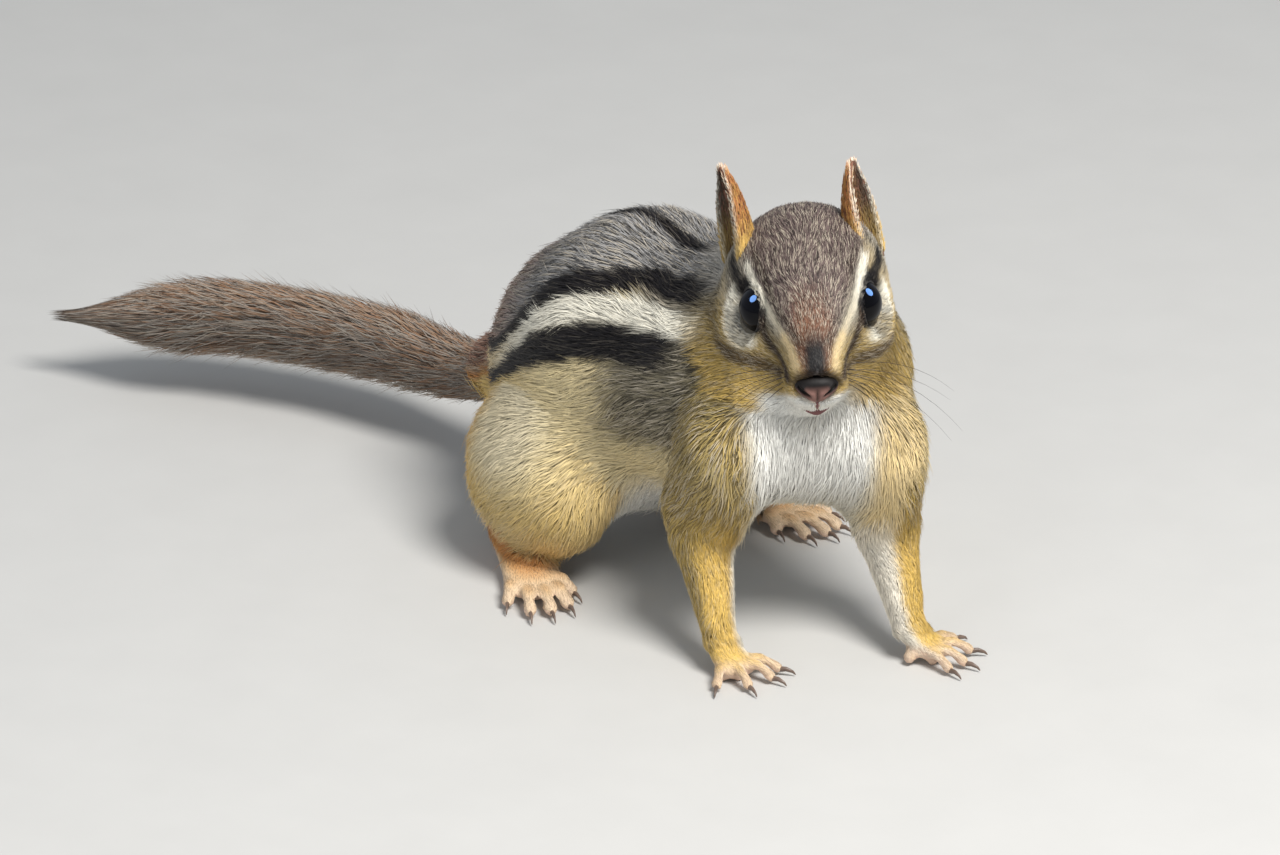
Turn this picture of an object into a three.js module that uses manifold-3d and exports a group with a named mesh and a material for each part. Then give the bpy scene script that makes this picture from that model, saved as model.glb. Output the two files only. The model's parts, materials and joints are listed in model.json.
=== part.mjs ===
// A life-size eastern chipmunk that stands on four feet and turns its head towards the viewer.
// Millimetres, +Z up, nose towards +X, left side towards +Y. The origin is on the floor under
// the middle of the animal. The flesh is one blended shape, described by distances to a few
// named masses, and it is parted into named pieces by thin cuts. Ears, paws and the long hair
// of the tail are lofted and joined to it.

import * as THREE from "three";
import { mergeVertices } from "three/addons/utils/BufferGeometryUtils.js";
import Module from "manifold-3d";

const wasm = await Module();
wasm.setup();
const { Manifold, Mesh: SolidMesh } = wasm;

const v3 = (x, y, z) => new THREE.Vector3(x, y, z);
const rad = THREE.MathUtils.degToRad;
const lerp = THREE.MathUtils.lerp;

// Driving sizes of the animal
const BACK_HEIGHT = 65;
const BELLY_CLEARANCE = 8;
const TRUNK_WIDTH = 50;
const TRUNK_LENGTH = 100;
const EYE_DIAMETER = 8.8;
const EYE_SPREAD = 16.2;
const EYE_DROP = 0.6;
const LID_THICKNESS = 0.8;
const EAR_HEIGHT = 19;
const EAR_WIDTH = 9.4;
const EAR_THICKNESS = 0.9;
const HIND_FOOT_LENGTH = 34;
const FORE_PAW_LENGTH = 13.4;
const CLAW_LENGTH = 2.6;
const TAIL_HAIR_RADIUS = 8;
const TAIL_CORE_RADIUS = 3.8;
const CUT_GAP = 0.3;

// The head's place and turn
const HEAD_AT = v3(-7.3, 0.9, 64);
const HEAD_YAW = -32.5;
const HEAD_PITCH = 8;
const HEAD_ROLL = 2.5;

// Left and right as the sign of Y
const SIDES = { left: 1, right: -1 };

// Joints of the limbs, from the floor between the fore paws
const FORE_LIMBS = {
  left: { shoulder: v3(-1, 11.5, 37.5), elbow: v3(-4, 14, 24.5), wrist: v3(9.3, 10.8, 5.6), heading: 40 },
  right: { shoulder: v3(-11, -13, 38), elbow: v3(-19.5, -14.5, 25), wrist: v3(-5.5, -19.2, 5.6), heading: 9 },
};
const HIND_LIMBS = {
  left: { hip: v3(-60, 20, 18), hock: v3(-71, 22.5, 7.5), heel: v3(-71, 23.5, 0), heading: 13 },
  right: { hip: v3(-60, -20.3, 18), hock: v3(-70.5, -20, 7.5), heel: v3(-69.6, -20.5, 0), heading: -22 },
};

// The line of the tail, from its root to the end of its bones
const TAIL_LINE = [
  v3(-90, 0, 24),
  v3(-101, 0, 18.5),
  v3(-114, -1.5, 16),
  v3(-135, -7, 15.5),
  v3(-157, -20, 15.5),
  v3(-174, -36, 14),
];

// Distance fields, negative inside. Each takes a point and gives millimetres.

const offset = v3(0, 0, 0);

function mass({ at, half, yaw = 0, pitch = 0 }) {
  const turn = new THREE.Quaternion()
    .setFromEuler(new THREE.Euler(0, rad(pitch), rad(yaw), "ZYX"))
    .invert();
  return (p) => {
    offset.copy(p).sub(at).applyQuaternion(turn);
    const near = Math.hypot(offset.x / half.x, offset.y / half.y, offset.z / half.z);
    const slope = Math.hypot(
      offset.x / half.x ** 2,
      offset.y / half.y ** 2,
      offset.z / half.z ** 2,
    );
    return slope < 1e-6 ? -Math.min(half.x, half.y, half.z) : (near * (near - 1)) / slope;
  };
}

function bone(from, to, fromRadius, toRadius) {
  const along = to.clone().sub(from);
  const lengthSquared = along.lengthSq();
  return (p) => {
    offset.copy(p).sub(from);
    const t = THREE.MathUtils.clamp(offset.dot(along) / lengthSquared, 0, 1);
    offset.addScaledVector(along, -t);
    return offset.length() - lerp(fromRadius, toRadius, t);
  };
}

function melt(reach, ...fields) {
  return (p) =>
    fields.reduce((sum, field) => {
      const other = field(p);
      const overlap = Math.max(reach - Math.abs(sum - other), 0) / reach;
      return Math.min(sum, other) - (overlap * overlap * reach) / 4;
    }, Infinity);
}

// The head's own frame: the origin is midway between the eyes, the nose is towards +X
const headTurn = new THREE.Euler(rad(HEAD_ROLL), rad(HEAD_PITCH), rad(HEAD_YAW), "ZYX");
const headToBody = new THREE.Matrix4().compose(
  HEAD_AT,
  new THREE.Quaternion().setFromEuler(headTurn),
  v3(1, 1, 1),
);
const bodyToHead = headToBody.clone().invert();

const mirrored = (at, side) => v3(at.x, at.y * side, at.z);
const bothSides = (make) => [make(SIDES.left), make(SIDES.right)];

const HEAD = {
  skull: mass({ at: v3(-9, 0, -0.6), half: v3(14.5, 13.6, 11.1) }),
  brow: mass({ at: v3(-0.5, 0, 0.8), half: v3(10, 9.3, 7.2) }),
  snout: bone(v3(2.5, 0, -2), v3(13.1, 0, -7.5), 8.3, 3.9),
  bridge: bone(v3(0.5, 0, 2.3), v3(12.4, 0, -4.9), 6.2, 3.9),
  jaw: bone(v3(-3, 0, -8.6), v3(11.4, 0, -11.5), 6.6, 3.1),
  cheeks: bothSides((side) =>
    mass({ at: mirrored(v3(-4.2, 8.1, -6.6), side), half: v3(10.5, 7.1, 7) }),
  ),
  whiskerPads: bothSides((side) =>
    mass({ at: mirrored(v3(12.1, 2.9, -9.2), side), half: v3(4.4, 3.1, 3) }),
  ),
  nosePad: mass({ at: v3(15.7, 0, -7.4), half: v3(2, 3.6, 2.4) }),
};

const headShape = melt(
  1,
  melt(
    1.8,
    melt(4, HEAD.skull, HEAD.brow, HEAD.snout, HEAD.bridge, HEAD.jaw, ...HEAD.cheeks),
    ...HEAD.whiskerPads,
  ),
  HEAD.nosePad,
);

const headPoint = v3(0, 0, 0);
const headField = (p) => headShape(headPoint.copy(p).applyMatrix4(bodyToHead));

const midHeight = (BACK_HEIGHT + BELLY_CLEARANCE) / 2;
const halfHeight = (BACK_HEIGHT - BELLY_CLEARANCE) / 2;
const halfWidth = TRUNK_WIDTH / 2;
const part = (share) => TRUNK_LENGTH * share;

const TRUNK = {
  chest: mass({ at: v3(-13, 3.5, 41), half: v3(15, 16.5, 17.5), yaw: -20 }),
  shoulders: mass({ at: v3(-17, 9.2, 47.5), half: v3(13.5, 18.2, 14.5), yaw: -20 }),
  ribs: mass({ at: v3(-part(0.35), 3.5, 39.5), half: v3(22, 21, 23.5) }),
  belly: mass({ at: v3(-part(0.57), 2, midHeight), half: v3(24, halfWidth, halfHeight) }),
  rump: mass({ at: v3(-part(0.74), 0, 32), half: v3(17.5, 18.5, 22) }),
  nape: mass({ at: v3(-29, 9, 57.5), half: v3(12, 12, 9) }),
  tailRoot: bone(v3(-part(0.82), 0, 27), TAIL_LINE[1], 12, 7.2),
};

const nape = v3(-13, 0, -2).applyMatrix4(headToBody);
const NECK = bone(v3(-18, 4.5, 45), nape, 16.5, 12.5);

function foreLimb(name) {
  const { shoulder, elbow, wrist } = FORE_LIMBS[name];
  return {
    upper: melt(
      5,
      bone(shoulder, elbow, 8.6, 7),
      mass({ at: shoulder.clone().lerp(elbow, 0.3), half: v3(10, 5.6, 13) }),
    ),
    fore: bone(elbow, wrist, 6.4, 3.2),
  };
}

function hindLimb(name) {
  const { hip, hock } = HIND_LIMBS[name];
  const thigh = mass({ at: hip, half: v3(18.5, 11, 14.5), pitch: 8 });
  return { upper: thigh, shank: bone(hip.clone().add(v3(2, 2 * SIDES[name], -5)), hock, 7, 4.2) };
}

const FORE = { left: foreLimb("left"), right: foreLimb("right") };
const HIND = { left: hindLimb("left"), right: hindLimb("right") };

const trunkField = melt(
  7,
  TRUNK.belly,
  TRUNK.ribs,
  TRUNK.chest,
  TRUNK.shoulders,
  TRUNK.nape,
  TRUNK.rump,
  TRUNK.tailRoot,
  NECK,
);
const bodyField = melt(
  8,
  trunkField,
  melt(3, HIND.left.upper, HIND.left.shank),
  melt(3, HIND.right.upper, HIND.right.shank),
);
const fleshField = melt(
  5,
  bodyField,
  headField,
  melt(3, FORE.left.upper, FORE.left.fore),
  melt(3, FORE.right.upper, FORE.right.fore),
);

// Solids

function solid(points, triangles) {
  return new Manifold(
    new SolidMesh({
      numProp: 3,
      vertProperties: new Float32Array(points.flatMap((p) => [p.x, p.y, p.z])),
      triVerts: new Uint32Array(triangles.flat()),
    }),
  );
}

// The same, turned right side out if need be
function outward(points, triangles) {
  const made = solid(points, triangles);
  return made.volume() < 0 ? solid(points, triangles.map(([a, b, c]) => [a, c, b])) : made;
}

function solidOf(geometry, matrix = new THREE.Matrix4()) {
  const bare = new THREE.BufferGeometry().setAttribute(
    "position",
    geometry.getAttribute("position").clone(),
  );
  if (geometry.index) bare.setIndex(geometry.index);
  const merged = mergeVertices(bare.applyMatrix4(matrix), 1e-4);
  return new Manifold(
    new SolidMesh({
      numProp: 3,
      vertProperties: merged.attributes.position.array,
      triVerts: new Uint32Array(merged.index.array),
    }),
  );
}

function geometryOf(shape) {
  const mesh = shape.getMesh();
  const geometry = new THREE.BufferGeometry();
  geometry.setAttribute("position", new THREE.BufferAttribute(mesh.vertProperties, 3));
  geometry.setIndex(new THREE.BufferAttribute(mesh.triVerts, 1));
  geometry.computeVertexNormals();
  return geometry;
}

function largest(shape) {
  return shape.decompose().reduce((a, b) => (b.volume() > a.volume() ? b : a));
}

// The skin of a field inside a box, as dual vertices on a grid. Each cell has one vertex for
// each sheet of skin that passes through it, so that the result is always one closed surface.

const cellEdges = [];
for (const bit of [1, 2, 4])
  for (let low = 0; low < 8; low++) if (!(low & bit)) cellEdges.push([low, low | bit]);
const edgeBetween = (a, b) =>
  cellEdges.findIndex(([low, high]) => low === Math.min(a, b) && high === Math.max(a, b));
const cellFaces = [
  [0, 2, 6, 4],
  [1, 3, 7, 5],
  [0, 1, 5, 4],
  [2, 3, 7, 6],
  [0, 1, 3, 2],
  [4, 5, 7, 6],
];

function sheetsOf(inside) {
  const sheet = cellEdges.map((_, i) => i);
  const find = (i) => (sheet[i] === i ? i : find(sheet[i]));
  for (const face of cellFaces)
    for (let i = 0; i < 4; i++) {
      if (inside[face[i]] || !inside[face[(i + 1) % 4]]) continue;
      let last = i + 1;
      while (inside[face[(last + 1) % 4]]) last++;
      const enter = edgeBetween(face[i], face[(i + 1) % 4]);
      const leave = edgeBetween(face[last % 4], face[(last + 1) % 4]);
      sheet[find(enter)] = find(leave);
    }
  return cellEdges.map((_, i) => find(i));
}

function gradient(field, p, step, out) {
  const probe = p.clone();
  for (const axis of ["x", "y", "z"]) {
    probe[axis] = p[axis] + step;
    const ahead = field(probe);
    probe[axis] = p[axis] - step;
    out[axis] = (ahead - field(probe)) / (2 * step);
    probe[axis] = p[axis];
  }
  return out;
}

function skinOf(bodyField, box, cell, bend = (p) => p) {
  const field = (p) => bodyField(bend(p));
  const size = box.getSize(v3(0, 0, 0));
  const [nx, ny, nz] = [size.x, size.y, size.z].map((s) => Math.ceil(s / cell) + 1);
  const at = (i, j, k) => i + nx * (j + ny * k);
  const place = (i, j, k) => v3(i, j, k).multiplyScalar(cell).add(box.min);
  const values = new Float64Array(nx * ny * nz);
  for (let k = 0; k < nz; k++)
    for (let j = 0; j < ny; j++)
      for (let i = 0; i < nx; i++) {
        const rim = i * j * k === 0 || i === nx - 1 || j === ny - 1 || k === nz - 1;
        const value = field(place(i, j, k));
        values[at(i, j, k)] = rim ? Math.max(value, 0.01 * cell) : value || 1e-6;
      }

  const points = [];
  const vertexOf = new Map();
  const slope = v3(0, 0, 0);
  for (let k = 0; k < nz - 1; k++)
    for (let j = 0; j < ny - 1; j++)
      for (let i = 0; i < nx - 1; i++) {
        const corner = [...Array(8).keys()].map((c) =>
          at(i + (c & 1), j + ((c >> 1) & 1), k + (c >> 2)),
        );
        const inside = corner.map((c) => values[c] < 0);
        if (inside.every((x) => x === inside[0])) continue;
        const sheets = sheetsOf(inside);
        const made = new Map();
        cellEdges.forEach(([a, b], e) => {
          if (inside[a] === inside[b]) return;
          const t = values[corner[a]] / (values[corner[a]] - values[corner[b]]);
          const crossing = v3(a & 1, (a >> 1) & 1, a >> 2).lerp(
            v3(b & 1, (b >> 1) & 1, b >> 2),
            t,
          );
          if (!made.has(sheets[e])) made.set(sheets[e], { sum: v3(0, 0, 0), count: 0, edges: [] });
          const sheet = made.get(sheets[e]);
          sheet.sum.add(crossing);
          sheet.count++;
          sheet.edges.push(e);
        });
        for (const { sum, count, edges } of made.values()) {
          const p = sum.divideScalar(count).add(v3(i, j, k)).multiplyScalar(cell).add(box.min);
          const depth = field(p);
          if (Math.abs(depth) < cell / 2 && made.size === 1) {
            gradient(field, p, cell / 50, slope);
            p.addScaledVector(slope, -depth / Math.max(slope.lengthSq(), 0.25));
          }
          for (const e of edges) vertexOf.set(at(i, j, k) * 12 + e, points.length);
          points.push(p);
        }
      }

  // One quad round each grid edge that the skin crosses, from the four cells that share it
  const triangles = [];
  const axes = [
    [v3(1, 0, 0), v3(0, 1, 0), v3(0, 0, 1)],
    [v3(0, 1, 0), v3(0, 0, 1), v3(1, 0, 0)],
    [v3(0, 0, 1), v3(1, 0, 0), v3(0, 1, 0)],
  ];
  const bits = (v) => v.x + 2 * v.y + 4 * v.z;
  const around = [
    [1, 1],
    [0, 1],
    [0, 0],
    [1, 0],
  ];
  for (let k = 0; k < nz - 1; k++)
    for (let j = 0; j < ny - 1; j++)
      for (let i = 0; i < nx - 1; i++)
        for (const [step, first, second] of axes) {
          const here = values[at(i, j, k)] < 0;
          const next = values[at(i + step.x, j + step.y, k + step.z)] < 0;
          if (here === next) continue;
          const quad = around.map(([a, b]) => {
            const low = first.clone().multiplyScalar(a).addScaledVector(second, b);
            const edge = edgeBetween(bits(low), bits(low) + bits(step));
            return vertexOf.get(at(i - low.x, j - low.y, k - low.z) * 12 + edge);
          });
          if (!here) quad.reverse();
          const [a, b, c, d] = quad;
          const miss = (m, n) => Math.abs(field(points[m].clone().lerp(points[n], 0.5)));
          if (miss(a, c) <= miss(b, d)) triangles.push([a, b, c], [a, c, d]);
          else triangles.push([a, b, d], [b, c, d]);
        }
  return outward(points.map(bend), triangles);
}

function distanceOut(field, from, direction, reach) {
  const probe = v3(0, 0, 0);
  let travelled = 0;
  for (let step = 0; step < 80; step++) {
    const gap = field(probe.copy(from).addScaledVector(direction, travelled));
    if (gap > -0.002) break;
    travelled += Math.max(-gap * 0.8, 0.01);
    if (travelled > reach) return reach;
  }
  return travelled;
}

// A loft along a line: each station is a flattened ring across the line, and both ends close
// on a point. wide runs along the side vector, and thick across it.

function loft(stations, sides, sideVector, phase = 0.5) {
  const points = [];
  const triangles = [];
  stations.forEach(({ at, wide, thick }, i) => {
    const before = stations[Math.max(i - 1, 0)].at;
    const after = stations[Math.min(i + 1, stations.length - 1)].at;
    const along = after.clone().sub(before).normalize();
    const up = along.clone().cross(sideVector).normalize();
    const side = up.clone().cross(along).normalize();
    for (let s = 0; s < sides; s++) {
      const angle = (2 * Math.PI * (s + phase)) / sides;
      points.push(
        at
          .clone()
          .addScaledVector(side, wide * Math.cos(angle))
          .addScaledVector(up, thick * Math.sin(angle)),
      );
    }
  });
  const end = stations.length - 1;
  const tipOf = (i, j, reach) =>
    stations[i].at.clone().addScaledVector(stations[i].at.clone().sub(stations[j].at).normalize(), reach);
  points.push(tipOf(0, 1, stations[0].cap ?? 0), tipOf(end, end - 1, stations[end].cap ?? 0));
  const vertex = (r, s) => r * sides + (s % sides);
  for (let s = 0; s < sides; s++) {
    triangles.push([points.length - 2, vertex(0, s + 1), vertex(0, s)]);
    for (let r = 0; r < end; r++)
      triangles.push(
        [vertex(r, s), vertex(r, s + 1), vertex(r + 1, s + 1)],
        [vertex(r, s), vertex(r + 1, s + 1), vertex(r + 1, s)],
      );
    triangles.push([points.length - 1, vertex(end, s), vertex(end, s + 1)]);
  }
  return outward(points, triangles);
}

// Cutters

const BIG = 200;

function halfSpace(at, normal) {
  const slab = new THREE.BoxGeometry(BIG, BIG, BIG).translate(0, 0, BIG / 2);
  const turn = new THREE.Quaternion().setFromUnitVectors(v3(0, 0, 1), normal.clone().normalize());
  return solidOf(slab, new THREE.Matrix4().compose(at, turn, v3(1, 1, 1)));
}

const gapAhead = (at, normal) => halfSpace(at.clone().addScaledVector(normal, CUT_GAP / 2), normal);
const gapBehind = (at, normal) =>
  halfSpace(at.clone().addScaledVector(normal, -CUT_GAP / 2), normal.clone().negate());
const aboveFloor = halfSpace(v3(0, 0, 0), v3(0, 0, 1));

// A straight round bar, flat at both ends
function bar(from, to, fromRadius, toRadius, sides = 14) {
  const along = to.clone().sub(from);
  const geometry = new THREE.CylinderGeometry(toRadius, fromRadius, along.length(), sides);
  const turn = new THREE.Quaternion().setFromUnitVectors(v3(0, 1, 0), along.normalize());
  const middle = from.clone().lerp(to, 0.5);
  return solidOf(geometry, new THREE.Matrix4().compose(middle, turn, v3(1, 1, 1)));
}

function ball(at, radius, around = 20, down = 12) {
  return solidOf(
    new THREE.SphereGeometry(radius, around, down),
    new THREE.Matrix4().makeTranslation(at.x, at.y, at.z),
  );
}

function drum(at, halfX, halfZ, tilt, innerY, outerY) {
  const barrel = new THREE.CylinderGeometry(1, 1, 1, 32)
    .scale(halfX, Math.abs(outerY - innerY), halfZ)
    .rotateY(rad(tilt))
    .translate(at.x, (innerY + outerY) / 2, at.z);
  return solidOf(barrel);
}

// The planes that part the head from the neck and the neck from the trunk
const headBack = v3(-7, 0, -5).applyMatrix4(headToBody);
const towardsNose = v3(0.5, 0, 0.866).transformDirection(headToBody);
const neckFoot = v3(-20, 6, 52);
const towardsHead = v3(0.5, -0.12, 0.86).normalize();

// The cuts that part each limb from the trunk and from itself
function armDrum(name, extra) {
  const { shoulder, elbow } = FORE_LIMBS[name];
  const middle = shoulder.clone().lerp(elbow, 0.42);
  const side = SIDES[name];
  const inner = middle.y - side * (1.5 + extra);
  return drum(middle, 10.5 + extra, 15.5 + extra, -12, inner, middle.y + side * 30);
}

function thighDrum(name, extra) {
  const { hip } = HIND_LIMBS[name];
  const side = SIDES[name];
  const inner = side * (14 - extra);
  return drum(hip, 19 + extra, 17.5 + extra, 8, inner, side * 60);
}

const forearmTop = (name) => {
  const { elbow, wrist } = FORE_LIMBS[name];
  return { at: elbow.clone().lerp(wrist, 0.2), down: wrist.clone().sub(elbow).normalize() };
};

function forearmRegion(name, extra) {
  const { wrist } = FORE_LIMBS[name];
  const { at, down } = forearmTop(name);
  const from = at.clone().addScaledVector(down, CUT_GAP / 2 - extra);
  return bar(from, wrist.clone().addScaledVector(down, 8), 9 + extra, 7 + extra);
}

const shankTop = v3(-0.45, 0, -0.9).normalize();

function shankRegion(name, extra) {
  const { hip, hock } = HIND_LIMBS[name];
  const at = hip.clone().add(v3(-4, 0, -8));
  const from = hip.clone().add(v3(2, 2 * SIDES[name], -5));
  const around = bar(from, hock.clone().lerp(from, -1), 11 + extra, 9 + extra);
  return around.intersect(halfSpace(at.addScaledVector(shankTop, CUT_GAP / 2 - extra), shankTop));
}

// Toes and claws, in a foot's own frame: X forward, Y outward, Z up from the floor

const FORE_TOE_RADIUS = 1.05;
const HIND_TOE_RADIUS = 1.25;

function digit(from, tip, radius, arch) {
  const middle = from.clone().lerp(tip, 0.42).add(v3(0, 0, arch));
  const pad = from.clone().lerp(tip, 0.84);
  pad.z = radius * 0.92;
  const stations = [
    { at: from, wide: radius * 1.1, thick: radius, cap: radius * 0.4 },
    { at: middle, wide: radius * 0.95, thick: radius * 0.95 },
    { at: pad, wide: radius * 1.12, thick: radius * 1.05 },
    { at: tip.clone().setZ(radius * 0.85), wide: radius * 0.6, thick: radius * 0.6, cap: radius * 0.3 },
  ];
  return loft(stations, 6, v3(0, 1, 0));
}

function claw(tip, radius, heading) {
  const along = (distance, height) => tip.clone().addScaledVector(heading, distance).setZ(height);
  const stations = [
    { at: along(-1.2, radius), wide: radius * 0.5, thick: radius * 0.55, cap: 0.2 },
    { at: along(0.35 * CLAW_LENGTH, radius * 1.25), wide: 0.42, thick: 0.6 },
    { at: along(0.8 * CLAW_LENGTH, radius * 0.85), wide: 0.28, thick: 0.4 },
    { at: along(CLAW_LENGTH, 0.35), wide: 0.12, thick: 0.16, cap: 0.12 },
  ];
  return loft(stations, 4, v3(-heading.y, heading.x, 0));
}

function toes(list, radius) {
  return list.flatMap(({ from, reach, turn, arch = 1.6 }) => {
    const heading = v3(Math.cos(rad(turn)), Math.sin(rad(turn)), 0);
    const tip = from.clone().addScaledVector(heading, reach - CLAW_LENGTH).setZ(radius);
    return [digit(from, tip, radius, arch), claw(tip, radius, heading)];
  });
}

function placeFoot(shape, at, heading, side) {
  const turn = new THREE.Matrix4()
    .makeRotationZ(rad(heading))
    .setPosition(at.x, at.y, 0)
    .multiply(new THREE.Matrix4().makeScale(1, side, 1));
  return shape.transform([...turn.elements]);
}

// Each fore paw has four long digits and a small pad for the thumb
function forePawShape(wristHeight) {
  const palm = loft(
    [
      { at: v3(-3.2, 0, wristHeight + 3.4), wide: 3.2, thick: 3, cap: 0.4 },
      { at: v3(0, 0, wristHeight), wide: 3.3, thick: 2.9 },
      { at: v3(2.6, 0.2, 3.1), wide: 3.7, thick: 2.6 },
      { at: v3(5, 0.6, 2), wide: 4, thick: 1.9 },
      { at: v3(6.2, 0.8, 1.7), wide: 3.2, thick: 1.4, cap: 0.6 },
    ],
    8,
    v3(0, 1, 0),
  );
  const digits = toes(
    [
      { from: v3(3.6, -2.5, 2), reach: FORE_PAW_LENGTH - 4.4, turn: -33 },
      { from: v3(4.9, -0.9, 2.1), reach: FORE_PAW_LENGTH - 4.6, turn: -13 },
      { from: v3(4.9, 1.7, 2.1), reach: FORE_PAW_LENGTH - 4.8, turn: 16 },
      { from: v3(3.2, 3.1, 2), reach: FORE_PAW_LENGTH - 5.2, turn: 52 },
    ],
    FORE_TOE_RADIUS,
  );
  const thumb = ball(v3(0.8, -3, 1.6), 1.3, 8, 6);
  return Manifold.union([palm, thumb, ...digits]).intersect(aboveFloor);
}

function forePaw(name) {
  const { wrist, heading } = FORE_LIMBS[name];
  const { down } = forearmTop(name);
  const shape = placeFoot(forePawShape(wrist.z), wrist, heading, SIDES[name]);
  return largest(shape.intersect(gapAhead(wrist, down)));
}

function hindFootShape(grow = 0) {
  const L = HIND_FOOT_LENGTH;
  const sole = loft(
    [
      { at: v3(-2.6, 0, 4.4), wide: 2.6, thick: 2.6, cap: 0.8 },
      { at: v3(1.5, 0, 3.6), wide: 3.6, thick: 3.9 },
      { at: v3(0.26 * L, 0, 3), wide: 4, thick: 3.4 },
      { at: v3(0.48 * L, -0.2, 2.5), wide: 5, thick: 2.7 },
      { at: v3(0.62 * L, -0.4, 2.1), wide: 6, thick: 2.2 },
      { at: v3(0.7 * L, -0.4, 1.8), wide: 5, thick: 1.6, cap: 0.8 },
    ].map((s) => ({ ...s, wide: s.wide + grow, thick: s.thick + grow })),
    9,
    v3(0, 1, 0),
  );
  if (grow) return sole;
  const digits = toes(
    [
      { from: v3(0.54 * L, -4.4, 1.9), reach: 0.26 * L, turn: -22 },
      { from: v3(0.64 * L, -3.4, 2), reach: 0.31 * L, turn: -10 },
      { from: v3(0.67 * L, -1, 2), reach: 0.33 * L, turn: -1 },
      { from: v3(0.66 * L, 1.6, 2), reach: 0.33 * L, turn: 7 },
      { from: v3(0.57 * L, 3.7, 1.9), reach: 0.28 * L, turn: 17 },
    ],
    HIND_TOE_RADIUS,
  );
  return Manifold.union([sole, ...digits]).intersect(aboveFloor);
}

function hindFoot(name, grow = 0) {
  const { heel, heading } = HIND_LIMBS[name];
  return placeFoot(hindFootShape(grow), heel, heading, SIDES[name]);
}

// Flesh pieces

const CELLS = { head: 2.95, trunk: 4.6, neck: 3.9, arm: 3.3, forearm: 2.7, thigh: 3.5, shank: 3.3 };
const boxOf = (x0, y0, z0, x1, y1, z1) => new THREE.Box3(v3(x0, y0, z0), v3(x1, y1, z1));
const boxRound = (at, x, y, z) => new THREE.Box3().setFromCenterAndSize(at, v3(x, y, z));

function trunkSolid() {
  let trunk = skinOf(fleshField, boxOf(-112, -42, 0, 14, 42, 74), CELLS.trunk);
  for (const name of Object.keys(SIDES))
    trunk = trunk
      .subtract(armDrum(name, CUT_GAP / 2))
      .subtract(thighDrum(name, CUT_GAP / 2))
      .subtract(forearmRegion(name, CUT_GAP))
      .subtract(shankRegion(name, CUT_GAP))
      .subtract(hindFoot(name, CUT_GAP));
  const tailCut = TAIL_LINE[1];
  const backwards = tailCut.clone().sub(TAIL_LINE[0]).normalize();
  return largest(
    trunk.intersect(gapBehind(neckFoot, towardsHead)).intersect(gapBehind(tailCut, backwards)),
  );
}

function neckSolid() {
  let neck = skinOf(fleshField, boxOf(-46, -24, 30, 12, 32, 84), CELLS.neck);
  for (const name of Object.keys(SIDES)) neck = neck.subtract(armDrum(name, CUT_GAP / 2));
  return largest(
    neck.intersect(gapAhead(neckFoot, towardsHead)).intersect(gapBehind(headBack, towardsNose)),
  );
}

function upperArmSolid(name) {
  const { shoulder, elbow } = FORE_LIMBS[name];
  const box = boxRound(shoulder.clone().lerp(elbow, 0.5), 40, 44, 50);
  return largest(
    skinOf(fleshField, box, CELLS.arm)
      .intersect(armDrum(name, -CUT_GAP / 2))
      .subtract(forearmRegion(name, CUT_GAP)),
  );
}

function forearmSolid(name) {
  const { elbow, wrist } = FORE_LIMBS[name];
  const { down } = forearmTop(name);
  const box = boxRound(elbow.clone().lerp(wrist, 0.55), 34, 28, 34);
  return largest(
    skinOf(fleshField, box, CELLS.forearm)
      .intersect(forearmRegion(name, 0))
      .intersect(gapBehind(wrist, down)),
  );
}

function thighSolid(name) {
  const { hip } = HIND_LIMBS[name];
  return largest(
    skinOf(fleshField, boxRound(hip, 52, 50, 56), CELLS.thigh)
      .intersect(thighDrum(name, -CUT_GAP / 2))
      .subtract(shankRegion(name, CUT_GAP))
      .subtract(hindFoot(name, CUT_GAP)),
  );
}

function shankSolid(name) {
  const { hip, hock } = HIND_LIMBS[name];
  return largest(
    skinOf(fleshField, boxRound(hip.clone().lerp(hock, 0.6), 44, 34, 34), CELLS.shank)
      .intersect(shankRegion(name, 0))
      .subtract(hindFoot(name, CUT_GAP)),
  );
}

// The head, its sockets, lids, nostrils and the line of its mouth, in the head's own frame

const headLocalField = (p) => fleshField(p.clone().applyMatrix4(headToBody));
const eyeAt = (side) => v3(0, (side * EYE_SPREAD) / 2, -EYE_DROP);
const gazeOf = (side) => v3(0.45, side * 0.87, 0.16).normalize();

// Cells of the head's grid shrink towards the nose, where its forms are finest
const HEAD_SHRINK = 0.52;
function towardsFineNose(p) {
  const t = THREE.MathUtils.clamp((p.x + 16) / 50, 0, 1);
  const scale = lerp(1, HEAD_SHRINK, t);
  const forward = t > 0 ? -16 + 50 * (t - ((1 - HEAD_SHRINK) * t * t) / 2) : p.x;
  const fineZ = lerp(-1, -6.5, t);
  return v3(forward, p.y * scale, fineZ + (p.z + 1) * scale);
}

// The head's skin, or one that lies farther out by grow
function headSkin(grow = 0) {
  const field = (p) => headLocalField(p) - grow;
  return skinOf(field, boxOf(-34, -25, -26, 34, 25, 20), CELLS.head, towardsFineNose);
}

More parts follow.
